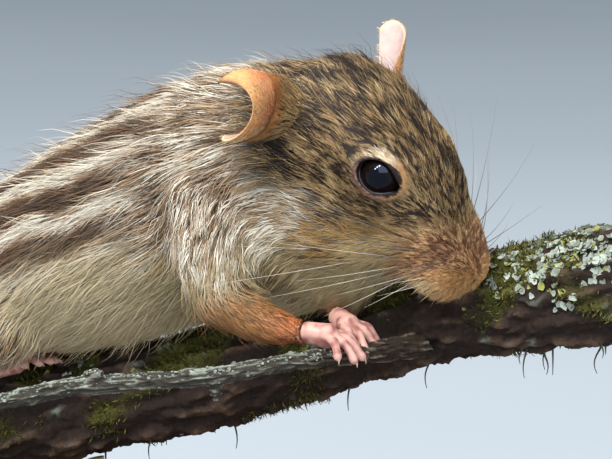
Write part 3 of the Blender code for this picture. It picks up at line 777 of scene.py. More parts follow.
def press_mouth(points, normals):
    """Sink the skin along the lips and the cleft."""
    groove = ease(0.75, 0.15, from_mouth(points))
    return points - normals * column(0.45 * groove)


def from_nose_pad(points):
    """Distance ratio of places from the middle of the bare nose pad; 1 at its edge."""
    centre, radii = (np.array(values) for values in NOSE_PAD)
    return np.linalg.norm((in_head(points) - centre) / radii, axis=1)


def point_tree(points):
    """A search tree over points."""
    tree = KDTree(len(points))
    for k, point in enumerate(points):
        tree.insert(point, k)
    tree.balance()
    return tree


def nearest(tree, places):
    """Number of the search tree's point that is nearest to each place."""
    return np.fromiter((tree.find(place)[1] for place in places), dtype=int, count=len(places))


def node_tree(names):
    """A search tree over the nodes' points, with the node each point belongs to."""
    owners, places = [], []
    for k, name in enumerate(names):
        form = node_form(name)
        bmesh.ops.triangulate(form, faces=form.faces[:])
        places += [face.calc_center_median() / MM for face in form.faces]
        places += [vert.co / MM for vert in form.verts]
        owners += [k] * (len(places) - len(owners))
        form.free()
    return np.array(owners), point_tree(places)


def coat_way(points, normals, shares, names, edges):
    """The way the coat lies at each point of the skin."""
    local = in_head(points)
    from_nose = unit(local - np.array(NOSE_TIP) - np.array((2.0, 0.0, 1.0)))
    from_nose[:, 2] -= 0.10 + 0.55 * lip_edge(local)
    head_way = from_nose @ HEAD_TURN.T
    for side in SIDES:
        offset = points - eye_centre(side)
        distance = np.linalg.norm(offset, axis=1, keepdims=True)
        radial = offset / distance
        push = 0.5 * (4.2 / np.maximum(distance, 3.2)) ** 3
        head_way = head_way + push * (head_way - 3.0 * radial * dot(head_way, radial))
        head_way = head_way + radial * 1.3 * ease(4.6, 3.0, distance)
    trunk_way = np.tile(unit(np.array(TRUNK_WAY)), (len(points), 1))
    trunk_way[:, 2] -= 0.28 * ease(20.0, 100.0, body_place(points))
    trunk_way += 0.16 * np.column_stack([lumps(points, 8.0, seed) for seed in (11, 12, 13)])
    worked_out = {"head": head_way, "neck": trunk_way, "torso": trunk_way}
    ways = np.zeros_like(points)
    for k, name in enumerate(names):
        way = worked_out[name] if name in worked_out else unit(np.array(COAT[name][6]))
        ways += column(shares[:, k]) * way
    ways = along_skin(ways, normals)
    for _ in range(4):
        ways = along_skin(spread(ways, edges, 3), normals)
    return ways


def lid_curve(side, count, reach, margin=0.0):
    """Points along the almond between the lids, at a reach from the eye's middle."""
    outward, along, over = eye_axes(side)
    angle = TURN * np.arange(count) / count
    inner = np.maximum(np.cos(angle), 0.0)
    across = (LID_OPENING[0] + margin) * np.cos(angle) * (1.0 + (LID_CORNER - 1.0) * inner ** 4)
    rise = (LID_OPENING[1] + margin) * np.sin(angle) * (1.0 - 0.42 * inner ** 2)
    if reach is None:
        depth = np.sqrt(np.maximum((EYE_RADIUS + 0.12) ** 2 - across ** 2 - rise ** 2, 0.2))
    else:
        depth = np.full(count, reach)
    return eye_centre(side) + column(across) * along + column(rise) * over + column(depth) * outward


def open_lids(skin):
    """Cut the sockets and the openings between the lids out of the skin."""
    for side in SIDES:
        low, high = lid_curve(side, LID_POINTS, 1.3), lid_curve(side, LID_POINTS, 7.0)
        points = np.vstack((low, high, low.mean(axis=0), high.mean(axis=0)))
        plain = bpy.data.materials.new("cutter")
        opening = new_object("opening", points, capped_faces(2, LID_POINTS), plain)
        face_outward(opening.data)
        ball = ball_form(eye_centre(side), EYE_RADIUS + 0.06, 48)
        socket = linked("socket", form_mesh("socket", ball))
        for cutter in (socket, opening):
            cut = skin.modifiers.new("cut", "BOOLEAN")
            cut.operation = "DIFFERENCE"
            cut.solver = "MANIFOLD"
            cut.object = cutter
            apply_modifiers(skin)
            bpy.data.objects.remove(cutter)
        bpy.data.materials.remove(plain)


def paint_skin(skin, body):
    """Paint the skin with the coat's markings, darkened as painted shade, as it lies under the hair."""
    points, triangles = mesh_arrays(skin.data)
    near = nearest(body["tree"], points)
    weights = group_weights(body["shares"][near], body["names"], point_normals(points, triangles))
    middle = np.full(len(points), 0.5)
    # The markings times 0.55: painted shade in the gaps between the tufts.
    colours = markings(points, weights, middle, 0.5 + 0.5 * lumps(points, 1.2, 5)) * 0.55
    for side in SIDES:
        gap, _, above = lid_place(points, side)
        lid = blend(LID_DARK, LID_PALE, ease(0.3, -0.8, above))
        colours = layered(colours, (lid, ease(0.55, 0.30, gap)), (LID_EDGE, ease(0.16, 0.04, gap)))
    front = ease(3.0, 5.0, in_head(points)[:, 0])
    # Dark pink of the lips along their line and the cleft, deepened as painted shade in the groove.
    colours = blend(colours, MOUTH_RED_AND_SHADE, ease(0.5, 0.15, from_mouth(points)) * front)
    for shape in FEET.values():
        wrist = np.linalg.norm(points - np.array(shape["heel"]), axis=1)
        colours = blend(colours, SKIN_PINK * 0.8, ease(3.0, 1.4, wrist))
    paint_mesh(skin.data, colours)


# Coat

TRUNK_WAY = (-70.0, -2.0, -20.0)
GUARD_SHARE = 0.035                 # share of longer, thinner hairs that stand out of the coat
DARK_TIPS = 0.22                    # share of tufts with a dark tip
ROOT_SHADE = np.array((0.50, 0.46, 0.44))

def sample(body, weight, count, draw):
    """Random places on the skin, closer where the weight is higher."""
    points, triangles = body["points"], body["triangles"]
    a, b, c = (points[triangles[:, k]] for k in range(3))
    area = np.linalg.norm(np.cross(b - a, c - a), axis=1)
    share = area * weight[triangles].mean(axis=1)
    pick = draw.choice(len(triangles), count, p=share / share.sum())
    u, v = draw.random(count), draw.random(count)
    over = u + v > 1.0
    u[over], v[over] = 1.0 - u[over], 1.0 - v[over]
    corners = triangles[pick]
    parts = np.column_stack((1.0 - u - v, u, v))

    def at(values):
        return (values[corners] * parts[:, :, None]).sum(axis=1)
    return at


def lock_place(roots, group):
    """Places of roots with the way of the coat shortened, so that locks come out long and narrow."""
    if group[0] == "head":
        offset = in_head(roots) - np.array(NOSE_TIP)
        reach = np.linalg.norm(offset, axis=1)
        return offset / column(reach) * column(16.0 + 0.12 * (reach - 12.0))
    return roots * np.array((0.3, 1.0, 1.0))


def hair_lines(roots, normals, ways, lengths, lifts, curls, steps):
    """The middle line of each tuft on its own, bending over from the rise at its root to that at its tip."""
    side = np.cross(normals, ways)
    lines = [roots]
    for k in range(steps):
        share = (k + 0.5) / steps
        lift = np.radians(lifts[:, 0] * (1 - share) + lifts[:, 1] * share)
        step = ways * column(np.cos(lift)) + normals * column(np.sin(lift))
        step = step + side * column(curls * (share - 0.3))
        lines.append(lines[-1] + step * column(lengths / steps))
    return np.stack(lines, axis=1)


def combed_lines(body, roots, turn, lengths, lifts, curls, steps):
    """The middle line of each tuft, laid along the skin it grows over."""
    height = np.zeros(len(roots))
    spot, lines = roots, [roots]
    for k in range(steps + 1):
        near = nearest(body["tree"], spot)
        normals = body["normals"][near]
        if k:
            rise = dot(spot - body["points"][near], normals)
            spot = spot + normals * (column(height) - rise)
            lines.append(spot)
        share = (k + 0.5) / steps
        side = np.cross(normals, body["way"][near])
        way = unit(body["way"][near] + side * column(turn + curls * (share - 0.3)))
        lift = np.radians(lifts[:, 0] * (1 - share) + lifts[:, 1] * share)
        spot = spot + way * column(np.cos(lift) * lengths / steps)
        height = height + np.sin(lift) * lengths / steps
    return np.stack(lines, axis=1)


def make_coat(name, body, group, count, steps, per_piece, draw, locks_share):
    """Pieces of coat on one group of nodes: ridged, tapered tufts, gathered into locks."""
    shares, names, coat = body["shares"], body["names"], body["coat"]
    weight = sum(shares[:, names.index(member)] for key in group for member in GROUPS[key])
    at = sample(body, weight / np.maximum(coat[:, 1] * coat[:, 2], 0.05), count, draw)
    roots = at(body["points"])
    bare = (from_mouth(roots) <= 0.20) | (from_nose_pad(roots) <= 1.0) | (lid_gap(roots) <= 0.24)
    keep = np.flatnonzero(~bare)
    roots, normals, root_shares = roots[keep], unit(at(body["normals"]))[keep], at(shares)[keep]
    length, width, lift_root, lift_tip, gather = at(coat)[keep, 1:].T
    lifts = np.column_stack((lift_root, lift_tip))
    count = len(keep)

    centres = draw.choice(count, max(int(count * locks_share), 8), replace=False)
    spots = lock_place(roots, group)
    lock = nearest(point_tree(spots[centres]), spots)
    tone, streak = draw.random(count), draw.random(len(centres))[lock]
    turn = draw.normal(0.0, 0.16, count) + draw.normal(0.0, 0.16, len(centres))[lock]
    length = length * draw.uniform(0.72, 1.18, count) * draw.uniform(0.85, 1.12, len(centres))[lock]
    width = width * draw.uniform(0.7, 1.3, count)
    lifts = lifts * column(draw.uniform(0.75, 1.25, count) * draw.uniform(0.85, 1.2, len(centres))[lock])
    guard = (draw.random(count) < GUARD_SHARE) & (length > 2.2)
    length = np.where(guard, length * 1.2, length)
    width = np.where(guard, width * 0.6, width)
    lifts = lifts * column(np.where(guard, 2.0, 1.0)) + column(np.where(guard, 6.0, 0.0))
    curls = draw.normal(0.0, 0.16, count)
    lines = combed_lines(body, roots, turn, length, lifts, curls, steps)
    lines[:, 0] -= normals * 0.12
    share = np.linspace(0.0, 1.0, steps + 1)
    pull = lines[centres][:, -1][lock] - lines[:, -1]
    reach = np.linalg.norm(pull, axis=1)
    pull = pull * column(np.minimum(1.0, 0.45 * length / np.maximum(reach, 1e-6)) * gather)
    lines = lines + pull[:, None, :] * (share ** 1.6)[None, :, None]

    weights = group_weights(root_shares, names, normals)
    middle = markings(0.35 * roots + 0.65 * lines[:, -2], weights, tone, streak)
    middle = np.clip(middle * column(draw.uniform(0.82, 1.12, count)), 0.0, 1.0)
    tip = blend(middle * 1.08, middle * 0.55, (draw.random(count) < DARK_TIPS).astype(float))
    add_tufts(name, lines, normals, width, (middle * ROOT_SHADE, middle, tip), per_piece, roots, group)


def add_tufts(name, lines, normals, width, colours, per_piece, roots, group):
    """Build ridged tufts from their middle lines, in pieces that are each one patch of the body."""
    count, rings = len(lines), lines.shape[1]
    side = unit(np.cross(unit(lines[:, -1] - lines[:, 0]), normals))
    up = np.cross(side, unit(lines[:, -1] - lines[:, 0]))
    share = np.linspace(0.0, 1.0, rings)[:-1]
    profile = np.minimum(1.0, 0.65 + 1.4 * share) * (1.0 - share ** 1.8)
    half = (0.5 * width[:, None] * profile[None, :])[..., None]
    middle = lines[:, :-1]
    sections = np.stack((middle - side[:, None] * half, middle + up[:, None] * (0.7 * half),
                         middle + side[:, None] * half), axis=2)
    points = np.concatenate((sections.reshape(count, -1, 3), lines[:, -1:]), axis=1)
    per_tuft = points.shape[1]
    last = 3 * (rings - 2)
    band = grid_faces(rings - 1, 3, False)
    faces = np.vstack((band, (last, last + 1, per_tuft - 1), (last + 1, last + 2, per_tuft - 1)))

    along = np.append(np.repeat(share, 3), 1.0)
    sideways = np.append(np.tile((-1.0, 0.0, 1.0), rings - 1), 0.0)
    root, middle, tip = colours
    low = ease(0.0, 0.45, along)[None, :, None]
    high = ease(0.6, 1.0, along)[None, :, None]
    paint = root[:, None] * (1 - low) + middle[:, None] * low
    paint = paint * (1 - high) + tip[:, None] * high
    order = np.argsort(round_place(roots, group)[1], kind="stable")
    pieces = max(1, math.ceil(count / per_piece))
    for k, chosen in enumerate(np.array_split(order, pieces)):
        index = (faces[None] + (np.arange(len(chosen)) * per_tuft)[:, None, None]).reshape(-1, 3)
        label = "%s_%d" % (name, k + 1) if pieces > 1 else name
        piece = new_object(label, points[chosen].reshape(-1, 3), index, FUR, paint[chosen].reshape(-1, 3))
        spot = np.column_stack((sideways * 0.0015, along * 0.003))
        spots = (unwrapped(roots[chosen], group)[:, None] + spot).reshape(-1, 2)
        layer = piece.data.uv_layers.new(name="OFBake")
        layer.data.foreach_set("uv", spots[index.ravel()].astype(np.float32).ravel())
        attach(piece, "root")


def round_place(roots, group):
    """Each root's distance along its part of the body and its angle round that part's axis."""
    if group[0] == "head":
        local = in_head(roots)
        return local[:, 0], np.arctan2(local[:, 1], local[:, 2] + 3.5)
    if group[0] in ("neck", "torso"):
        order = TRUNK_STATIONS[::-1]
        middle = np.interp(roots[:, 0], order[:, 0], order[:, 1])
        height = np.interp(roots[:, 0], order[:, 0], 0.5 * (order[:, 2] + order[:, 3]))
        return roots[:, 0], np.arctan2(roots[:, 1] - middle, roots[:, 2] - height)
    centre = roots.mean(axis=0)
    axes = np.linalg.svd(roots - centre, full_matrices=False)[2]
    local = (roots - centre) @ axes.T
    return local[:, 0], np.arctan2(local[:, 1], local[:, 2])


def unwrapped(roots, group):
    """Places of roots on a cylinder unwrapped round their part of the body, filling the unit square."""
    flat = np.column_stack(round_place(roots, group))
    low, high = flat.min(axis=0), flat.max(axis=0)
    return 0.01 + 0.975 * (flat - low) / np.maximum(high - low, 1e-6)


# Eyes

EYE_BULGE = 0.22
PUPIL = srgb(8, 6, 8)
IRIS = srgb(26, 16, 13)
EYE_EDGE = srgb(14, 9, 8)
RIM_DARK = srgb(30, 20, 20)

def make_eyes():
    """Glossy, nearly black eyes with a faint brown iris, and the dark, moist rims of the lids."""
    material = painted_material("eye_gloss", 0.05, 0.42)
    shader = material.node_tree.nodes["Principled BSDF"]
    shader.inputs["Specular Tint"].default_value = (0.62, 0.72, 1.0, 1.0)
    rim_material = painted_material("lid_rim", 0.28, 0.5)
    for name, side in (("right", -1), ("left", 1)):
        centre, outward = eye_centre(side), eye_axes(side)[0]
        mesh = form_mesh("eyeball_" + name, ball_form(centre, EYE_RADIUS, 64))
        points, triangles = mesh_arrays(mesh)
        bpy.data.meshes.remove(mesh)
        facing = (points - centre) / EYE_RADIUS @ outward
        points = points + column(EYE_BULGE * ease(0.72, 1.0, facing)) * outward
        iris = layered(PUPIL, (IRIS, ease(0.90, 0.80, facing)), (EYE_EDGE, ease(0.52, 0.36, facing)))
        ball = new_object("eyeball_" + name, points, triangles, material, iris)
        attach(ball, "root")
        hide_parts("eye_" + name)
        path = lid_curve(side, 56, None, 0.05)
        path = np.vstack((path, path[:1]))
        points, faces = tube(path, np.full(len(path), 0.2), 8, False)
        rim = new_object("lid_rim_" + name, points, faces, rim_material, RIM_DARK)
        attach(rim, "root")


# Ears

# Each ear in the head's axes: its root, the way out and the way its back faces, how far it wraps round in
# degrees, its length and rim's half width, its twist, and how its outline is cut, tucked and sloped
EARS = {
    "ear_right": {"side": -1, "root": (-16.0, -7.8, 1.0), "out": (-0.045, -0.96, 0.26),
                  "convex": (0.98, -0.03, 0.12), "wrap": 95.0, "length": 12.0, "twist": 0.0,
                  "rim": 4.9, "dent": 0.23, "low_cut": 0.40, "tuck": (2.7, 0.0), "peak": 0.0, "slope": 0.0,
                  "spread": 2.0, "pale": 0.45},
    "ear_left": {"side": 1, "root": (-13.0, 8.5, -3.0), "out": (-0.64, 0.60, 0.45),
                 "convex": (0.743, 0.669, 0.0), "wrap": 85.0, "length": 15.3, "twist": 6.0,
                 "rim": 2.8, "dent": 0.0, "low_cut": 0.0, "tuck": (0.0, 0.0), "peak": 0.8, "slope": 0.27,
                 "spread": 0.8, "pale": 0.9},
}
EAR_ROOT_RADIUS = 3.0
EAR_THICK = 0.5
EAR_COLUMNS = 44
EAR_ROWS = 30
EAR_ORANGE = srgb(206, 122, 76)
# Painted light: the orange glow of light shining through the thin outer part of the ear.
EAR_BACKLIT_GLOW = srgb(224, 166, 106)
EAR_HOLLOW_SHADE = srgb(150, 76, 56)
EAR_INSIDE_AND_HIGHLIGHT = srgb(206, 184, 178)
EAR_RIM_AND_HIGHLIGHT = srgb(238, 214, 168)
EAR_TIP = srgb(96, 60, 38)
# Hair of an ear: number of hairs, how far out it grows, and its length there from root to rim
EAR_HAIR = {"fine": (2600, 1.0, (1.6, 0.8, 0.5)), "root": (3400, 0.38, (3.6, 2.6, 1.2))}
EAR_STEP = 0.02


def ear_axes(shape):
    """Root, the way out, the way the back of the ear faces, and the way across, in the world."""
    out = unit(np.array(shape["out"]))
    convex = np.array(shape["convex"])
    convex = unit(convex - out * convex.dot(out))
    across = np.cross(out, convex)
    twist = math.radians(shape["twist"])
    convex, across = (convex * math.cos(twist) + across * math.sin(twist),
                      across * math.cos(twist) - convex * math.sin(twist))
    return on_head(shape["root"]), HEAD_TURN @ out, HEAD_TURN @ convex, HEAD_TURN @ across


def ear_sheet(shape, s, v, inset):
    """Points of the ear's back, or with inset 1 of its hollow; s runs across and v out to the rim."""
    root, out, convex, across = ear_axes(shape)
    low = np.maximum(s * shape["side"], 0.0)
    high = np.maximum(-s * shape["side"], 0.0)
    thick = EAR_THICK * (1.0 - 0.45 * v ** 2) * (1.0 - 0.55 * np.abs(s) ** 3)
    low_radius = min(EAR_ROOT_RADIUS, shape["rim"])
    flare = low_radius + (shape["rim"] - low_radius) * np.sin(0.5 * math.pi * v)
    flare = flare + 0.10 * np.sin(3.0 * s + 2.0 * v) * v - inset * thick
    angle = np.radians(shape["wrap"]) * s * (0.75 + 0.25 * v)
    foot = np.maximum(1.0 - v / 0.40, 0.0) ** 2
    flare = flare + shape["spread"] * foot * np.maximum(np.cos(angle), 0.0)
    reach = 1.0 - 0.10 * s ** 4 - shape["dent"] * (1.0 - s ** 2) * v - shape["low_cut"] * v * low ** 3
    reach = reach - shape["slope"] * (s - shape["peak"]) ** 2
    reach = shape["length"] * v * reach - 0.25 * inset * v ** 8
    tuck = shape["tuck"][0] * v ** 6 * high ** 2 - shape["tuck"][1] * v ** 3 * low ** 3
    place = (out * reach[..., None] + across * (shape["side"] * tuck)[..., None]
             + (convex * np.cos(angle)[..., None] + across * np.sin(angle)[..., None]) * flare[..., None])
    return root + place


def ear_colours(shape, s, v, inner):
    """Thin orange skin, darker in the hollow as painted shade, lighter towards the thin outer part as a
    painted glow of light through it, paler inside and at the rim, partly as painted highlight, with a dark
    edge at the tip.
    """
    low = s * shape["side"]
    # Painted shade deep in the cup, near its root where the skin is thick.
    hollow = ease(0.85, 0.35, v) * ease(0.9, 0.2, np.abs(s - 0.2 * shape["side"]))
    return layered(EAR_ORANGE,
                   # Lighter towards the rim: painted glow of light through the thin skin.
                   (EAR_BACKLIT_GLOW, ease(0.45, 0.95, v)),
                   (EAR_HOLLOW_SHADE, hollow * 0.85),
                   # Pale bare skin inside and a pale rim on the low side, each partly a painted highlight.
                   (EAR_INSIDE_AND_HIGHLIGHT, inner * shape["pale"]),
                   (EAR_RIM_AND_HIGHLIGHT, ease(0.93, 1.0, v) * ease(0.2, 0.8, low) * 0.8),
                   (EAR_TIP, ease(0.94, 1.0, v) * ease(0.4, 0.9, -low) * 0.75))


def make_ear(name, draw):
    """A thin curved cup with a soft rim, its outer side furred with very short hair."""
    shape = EARS[name]
    s, v = np.meshgrid(np.linspace(-1, 1, EAR_COLUMNS + 1), np.linspace(0.05, 1, EAR_ROWS + 1))
    sheets = [ear_sheet(shape, s, v, inset) for inset in (0.0, 1.0)]
    back = grid_faces(*s.shape, False)
    grid = np.arange(s.size).reshape(s.shape)
    rim = np.concatenate((grid[0, :-1], grid[:-1, -1], grid[-1, :0:-1], grid[:0:-1, 0]))
    after = np.roll(rim, -1)
    edge = np.vstack((np.column_stack((rim, after + s.size, after)),
                      np.column_stack((rim, rim + s.size, after + s.size))))
    faces = np.vstack((back, back[:, ::-1] + s.size, edge))
    points = np.vstack([sheet.reshape(-1, 3) for sheet in sheets])
    inner = np.repeat((0.0, 1.0), s.size)
    colours = ear_colours(shape, np.tile(s.ravel(), 2), np.tile(v.ravel(), 2), inner)
    ear = new_object("pinna_" + name[4:], points, faces, EAR_SKIN, colours)
    face_outward(ear.data)
    ear_hair(name, draw)
    return ear


def ear_hair_colours(label, v, tone):
    """Pale orange and brown of the fine hair, or the crown's colours turning orange over the root."""
    if label == "fine":
        return layered(srgb(222, 178, 122),
                       (srgb(130, 80, 46), ease(0.72, 0.9, tone)),
                       (srgb(246, 228, 190), ease(0.30, 0.1, tone)))
    return layered(CROWN_DARK,
                   (CROWN_BUFF * 1.2, ease(0.30, 0.44, tone)),
                   (srgb(206, 132, 76), ease(0.15, 0.75, v + 0.5 * (tone - 0.5)) * 0.8))


def ear_hair(name, draw):
    """Very short pale hair over the back of an ear, and longer hair of the crown over its root."""
    shape = EARS[name]
    root, _, convex, _ = ear_axes(shape)
    for label, (count, far, lengths) in EAR_HAIR.items():
        v, s = draw.random(count) ** 1.2 * far, draw.uniform(-1.0, 1.0, count)
        roots = ear_sheet(shape, s, v, 0.0)
        outward = unit(ear_sheet(shape, s, v + EAR_STEP, 0.0) - roots)
        sideways = unit(ear_sheet(shape, s + EAR_STEP, v, 0.0) - roots)
        normals = unit(np.cross(outward, sideways))
        normals = normals * np.sign(dot(roots - root, normals))
        way = along_skin(outward * 0.7 - convex, normals)
        way = unit(way + sideways * column(draw.normal(0.0, 0.25, count)))
        length = np.interp(v / far, (0.0, 0.5, 1.0), lengths) * draw.uniform(0.7, 1.3, count)
        length = length * (1.0 - 0.6 * ease(0.2, 0.8, -s * shape["side"]))
        lifts = np.tile((24.0, 8.0), (count, 1))
        curls = draw.normal(0, 0.2, count)
        lines = hair_lines(roots - normals * 0.05, normals, way, length, lifts, curls, 2)
        colour = ear_hair_colours(label, v / far, draw.random(count))
        add_tufts("coat_" + name + "_" + label, lines, normals, np.full(count, 0.085),
                  (colour * 0.7, colour, colour), count, roots, ("ear",))


def make_nose():
    """The bare nose pad, with its nostrils and the groove between them, carved and painted dark as painted
    shade.
    """
    centre, radii = (np.array(values) for values in NOSE_PAD)
    columns, rows = 96, 60
    turn, tilt = np.meshgrid(TURN * np.arange(columns) / columns, np.linspace(0.0, math.radians(105), rows))
    way = np.stack((np.cos(tilt), np.sin(tilt) * np.cos(turn), np.sin(tilt) * np.sin(turn)), axis=-1)
    way = way.reshape(-1, 3)
    y, z = (way * radii)[:, 1], (way * radii)[:, 2]
    front = ease(-0.1, 0.3, way[:, 0])
    side = np.abs(y)

    def mound(across, width, height, tall):
        return np.exp(-((side - across) / width) ** 2 - ((z - height) / tall) ** 2) * front
    hole = np.clip(mound(0.78 + 0.25 * z, 0.25, 0.02, 0.20) + 0.7 * mound(1.08, 0.25, 0.20, 0.09), 0.0, 1.0)
    groove = np.exp(-(y / 0.09) ** 2) * ease(0.30, -0.15, z) * front
    wing = mound(0.86, 0.36, 0.44, 0.18)
    depth = -0.45 * hole - 0.18 * groove + 0.08 * wing + 0.025 * lumps(way * 3.0, 0.35, 51)
    colours = layered(srgb(132, 84, 66),
                      (srgb(164, 112, 88), ease(-0.2, 0.6, z)),
                      # Nostrils and groove painted near black: painted shade in those hollows.
                      (srgb(60, 28, 26), np.clip(hole + 0.6 * groove, 0.0, 1.0)))
    points = on_head(centre + way * (radii + column(depth)))
    return new_object("nose_pad", points, grid_faces(rows, columns)[:, ::-1], NOSE_SKIN, colours)


# Feet

FOOT_RED = srgb(168, 108, 100)

FEET = {
    "forefoot_right": {"heel": (34.0, -12.2, 47.6), "toe_root": (36.6, -10.9, 47.2),
                       "ahead": (0.86, 0.30, -0.40), "toe_length": 4.6, "toes": 4,
                       "spread": 62.0, "radius": 1.6},
    "forefoot_left": {"heel": (32.6, -5.0, 48.4), "toe_root": (35.0, -5.8, 47.6),
                      "ahead": (0.86, 0.10, -0.45), "toe_length": 4.4, "toes": 4,
                      "spread": 58.0, "radius": 1.5},
    "hindfoot_right": {"heel": (-36.4, -9.8, 32.4), "toe_root": (-19.0, -9.2, 37.6),
                       "ahead": (0.93, 0.05, 0.22), "toe_length": 6.2, "toes": 5,
                       "spread": 34.0, "radius": 1.7},
    "hindfoot_left": {"heel": (-36.4, 4.4, 32.4), "toe_root": (-19.0, 3.8, 37.6),
                      "ahead": (0.93, 0.02, 0.22), "toe_length": 6.2, "toes": 5,
                      "spread": 34.0, "radius": 1.7},
}


def digit_lines(shape):
    """Root, knuckle and tip of each digit of a foot, the way it points, and the way up from it."""
    ahead = unit(np.array(shape["ahead"]))
    side = unit(np.cross(ahead, (0.0, 0.0, 1.0)))
    up = np.cross(side, ahead)
    lines = []
    for k in range(shape["toes"]):
        share = k / (shape["toes"] - 1) - 0.5
        angle = math.radians(shape["spread"]) * share
        way = ahead * math.cos(angle) + side * math.sin(angle)
        reach = shape["toe_length"] * (1.0 - 1.1 * share * share)
        start = np.array(shape["toe_root"]) + side * (1.84 * shape["radius"] * share)
        knuckle = start + way * (0.45 * reach) + up * 0.35
        lines.append((start, knuckle, start + way * reach - up * 0.9, way, up))
    return lines


def array_form(points, faces):
    """A bmesh from points in millimetres and triangles."""
    form = bmesh.new()
    verts = [form.verts.new(Vector(p) * MM) for p in points]
    for face in faces:
        form.faces.new([verts[k] for k in face])
    bmesh.ops.recalc_face_normals(form, faces=form.faces[:])
    return form


def make_foot(name):
    """A foot with jointed digits, pads and folds of bare pink skin."""
    shape = FEET[name]
    heel, root = np.array(shape["heel"]), np.array(shape["toe_root"])
    forms = []
    for start, knuckle, tip, way, _ in digit_lines(shape):
        path = smooth_path((start - way * 0.8, knuckle, tip), 7)
        t = np.linspace(0, 1, len(path))
        joint, pad = (0.10 * np.exp(-((t - place) / 0.10) ** 2) for place in (0.5, 0.92))
        forms.append(tube(path, 0.62 - 0.16 * t + joint + pad, 12))
    palm = smooth_path((heel + unit(heel - root) * 0.6, 0.5 * (heel + root), root), 6)
    forms.append(tube(palm, shape["radius"] * np.linspace(0.80, 1.02, len(palm)), 16))
    foot = fused(name + "_skin", [array_form(*form) for form in forms], 0.24, 3)
    points, triangles = mesh_arrays(foot.data)
    bpy.data.objects.remove(foot)
    tint = blend(SKIN_PINK, FOOT_RED, ease(-0.1, 0.4, lumps(points, 1.0, 8)))
    return new_object(name + "_skin", points, triangles, FOOT_SKIN, tint)


def make_claws():
    """A small, curved, translucent claw on each digit."""
    parts = []
    for shape in FEET.values():
        for _, knuckle, tip, _, up in digit_lines(shape):
            ahead = unit(tip - knuckle)
            path = smooth_path((tip - ahead * 0.2 + up * 0.12, tip + ahead * 0.32 + up * 0.10,
                                tip + ahead * 0.58 - up * 0.20), 5)
            parts.append(tube(path, np.linspace(0.20, 0.04, len(path)), 8))
    horn = painted_material("claw", 0.3, 0.5, None, 0.2)
    claws = new_object("claws", *joined(parts), horn, srgb(198, 164, 142))
    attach(claws, "root")


# Whiskers

def make_whiskers(draw):
    """Long tapered whiskers in rows on both sides of the muzzle, dark at the root and pale at the tip."""
    parts, colours = [], []
    t = np.linspace(0.0, 1.0, 11)
    for side in SIDES:
        for row in range(4):
            for place in range(5):
                x = 12.2 - 1.25 * place + draw.uniform(-0.2, 0.2)
                z = -4.3 - 1.05 * row + draw.uniform(-0.2, 0.2)
                y = np.interp(x, (6, 12.5), (5.2, 3.6)) * (1.0 - 0.05 * abs(row - 2))
                length = (9.0 + 5.0 * place) * draw.uniform(0.75, 1.1) * (1.0 - 0.10 * row)
                rise = (0.10 - 0.12 * row) if side < 0 else (0.26 - 0.17 * row)
                way = np.array((-0.12 - 0.15 * place, side * 0.85, rise))
                way = unit(way + draw.normal(0.0, 0.13, 3))
                sag = np.array((-0.16, 0.0, -0.10)) * draw.uniform(0.4, 1.4)
                path = np.array((x, side * y, z)) + column(t) * way * length + column(t ** 2) * sag * length
                path = path + column(np.sin(3.0 * t + place)) * draw.normal(0.0, 0.012, 3) * length
                parts.append(tube(on_head(path), 0.042 * (1 - t) ** 0.8 + 0.007, 5))
                pale = ease(0.10, 0.5, np.repeat(t, 5)) * (0.85 if row > 1 else 0.25)
                paint = blend(srgb(46, 32, 26), srgb(222, 212, 196), pale)
                colours.append(np.vstack((paint, paint[:1], paint[-1:])))
    bristle = painted_material("whisker", 0.35, 0.5)
    whiskers = new_object("whiskers", *joined(parts), bristle, np.vstack(colours))
    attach(whiskers, "root")


# Perch and stand

def bark_material():
    """Rough bark in its painted colours, with fine relief."""
    material, shader, tree = new_material("bark", 0.85, 0.25)
    fine = noise_node(tree, 1600.0, 6.0, 0.7)
    colour_by_product(tree, shader, paint_node(tree), grey_ramp(tree, fine, (0.25, 0.45), (0.75, 1.25)))
    bump_node(tree, shader, fine, 0.7, 0.35)
    return material


BARK_DARK = srgb(52, 40, 34)
BARK_BROWN = srgb(98, 76, 60)
MOSS = srgb(108, 108, 42)
LICHEN = srgb(186, 196, 180)
LICHEN_YELLOW = srgb(170, 172, 96)
BARK_PALE = srgb(120, 104, 92)
TWIG_BARK = srgb(112, 106, 94)
TWIG_BROWN = srgb(92, 74, 60)
TWIG_PALE = srgb(150, 148, 136)
MOSS_HALF_WIDTH = 0.075


def turbulence(places, size, octaves, seed):
    """Rough noise of about 0 to 1 at places."""
    offset = Vector((seed * 3.7, seed * 11.9, seed * 7.3))
    return np.array([noise.turbulence(Vector(p) / size + offset, octaves, False) for p in places])


BRANCH_LINE = ((76.0, 13.0, 57.0), (61.0, 11.0, 53.4), (42.0, 8.6, 48.8), (31.0, 6.6, 45.6),
               (19.0, 3.6, 41.6), (3.0, 0.4, 36.0), (-16.0, -2.0, 31.0), (-33.0, -3.0, 25.8),
               (-58.0, -4.0, 18.0))
TWIG_LINE = ((39.6, 3.0, 45.0), (38.1, -3.9, 44.8), (36.8, -10.6, 44.8), (34.3, -15.6, 44.4),
             (26.6, -22.9, 42.7), (16.1, -32.5, 41.7), (9.3, -38.9, 39.8), (6.0, -42.4, 39.2))


def stem_place(points, line):
    """Places along and round a stem, so that its grain can run lengthwise."""
    path = smooth_path(line, 12)
    ahead = unit(np.gradient(path, axis=0))
    along = np.concatenate(((0.0,), np.cumsum(np.linalg.norm(np.diff(path, axis=0), axis=1))))
    near = nearest(point_tree(path), points)
    offset = points - path[near]
    lengthwise = dot(offset, ahead[near])
    return along[near] + lengthwise[:, 0], offset - ahead[near] * lengthwise


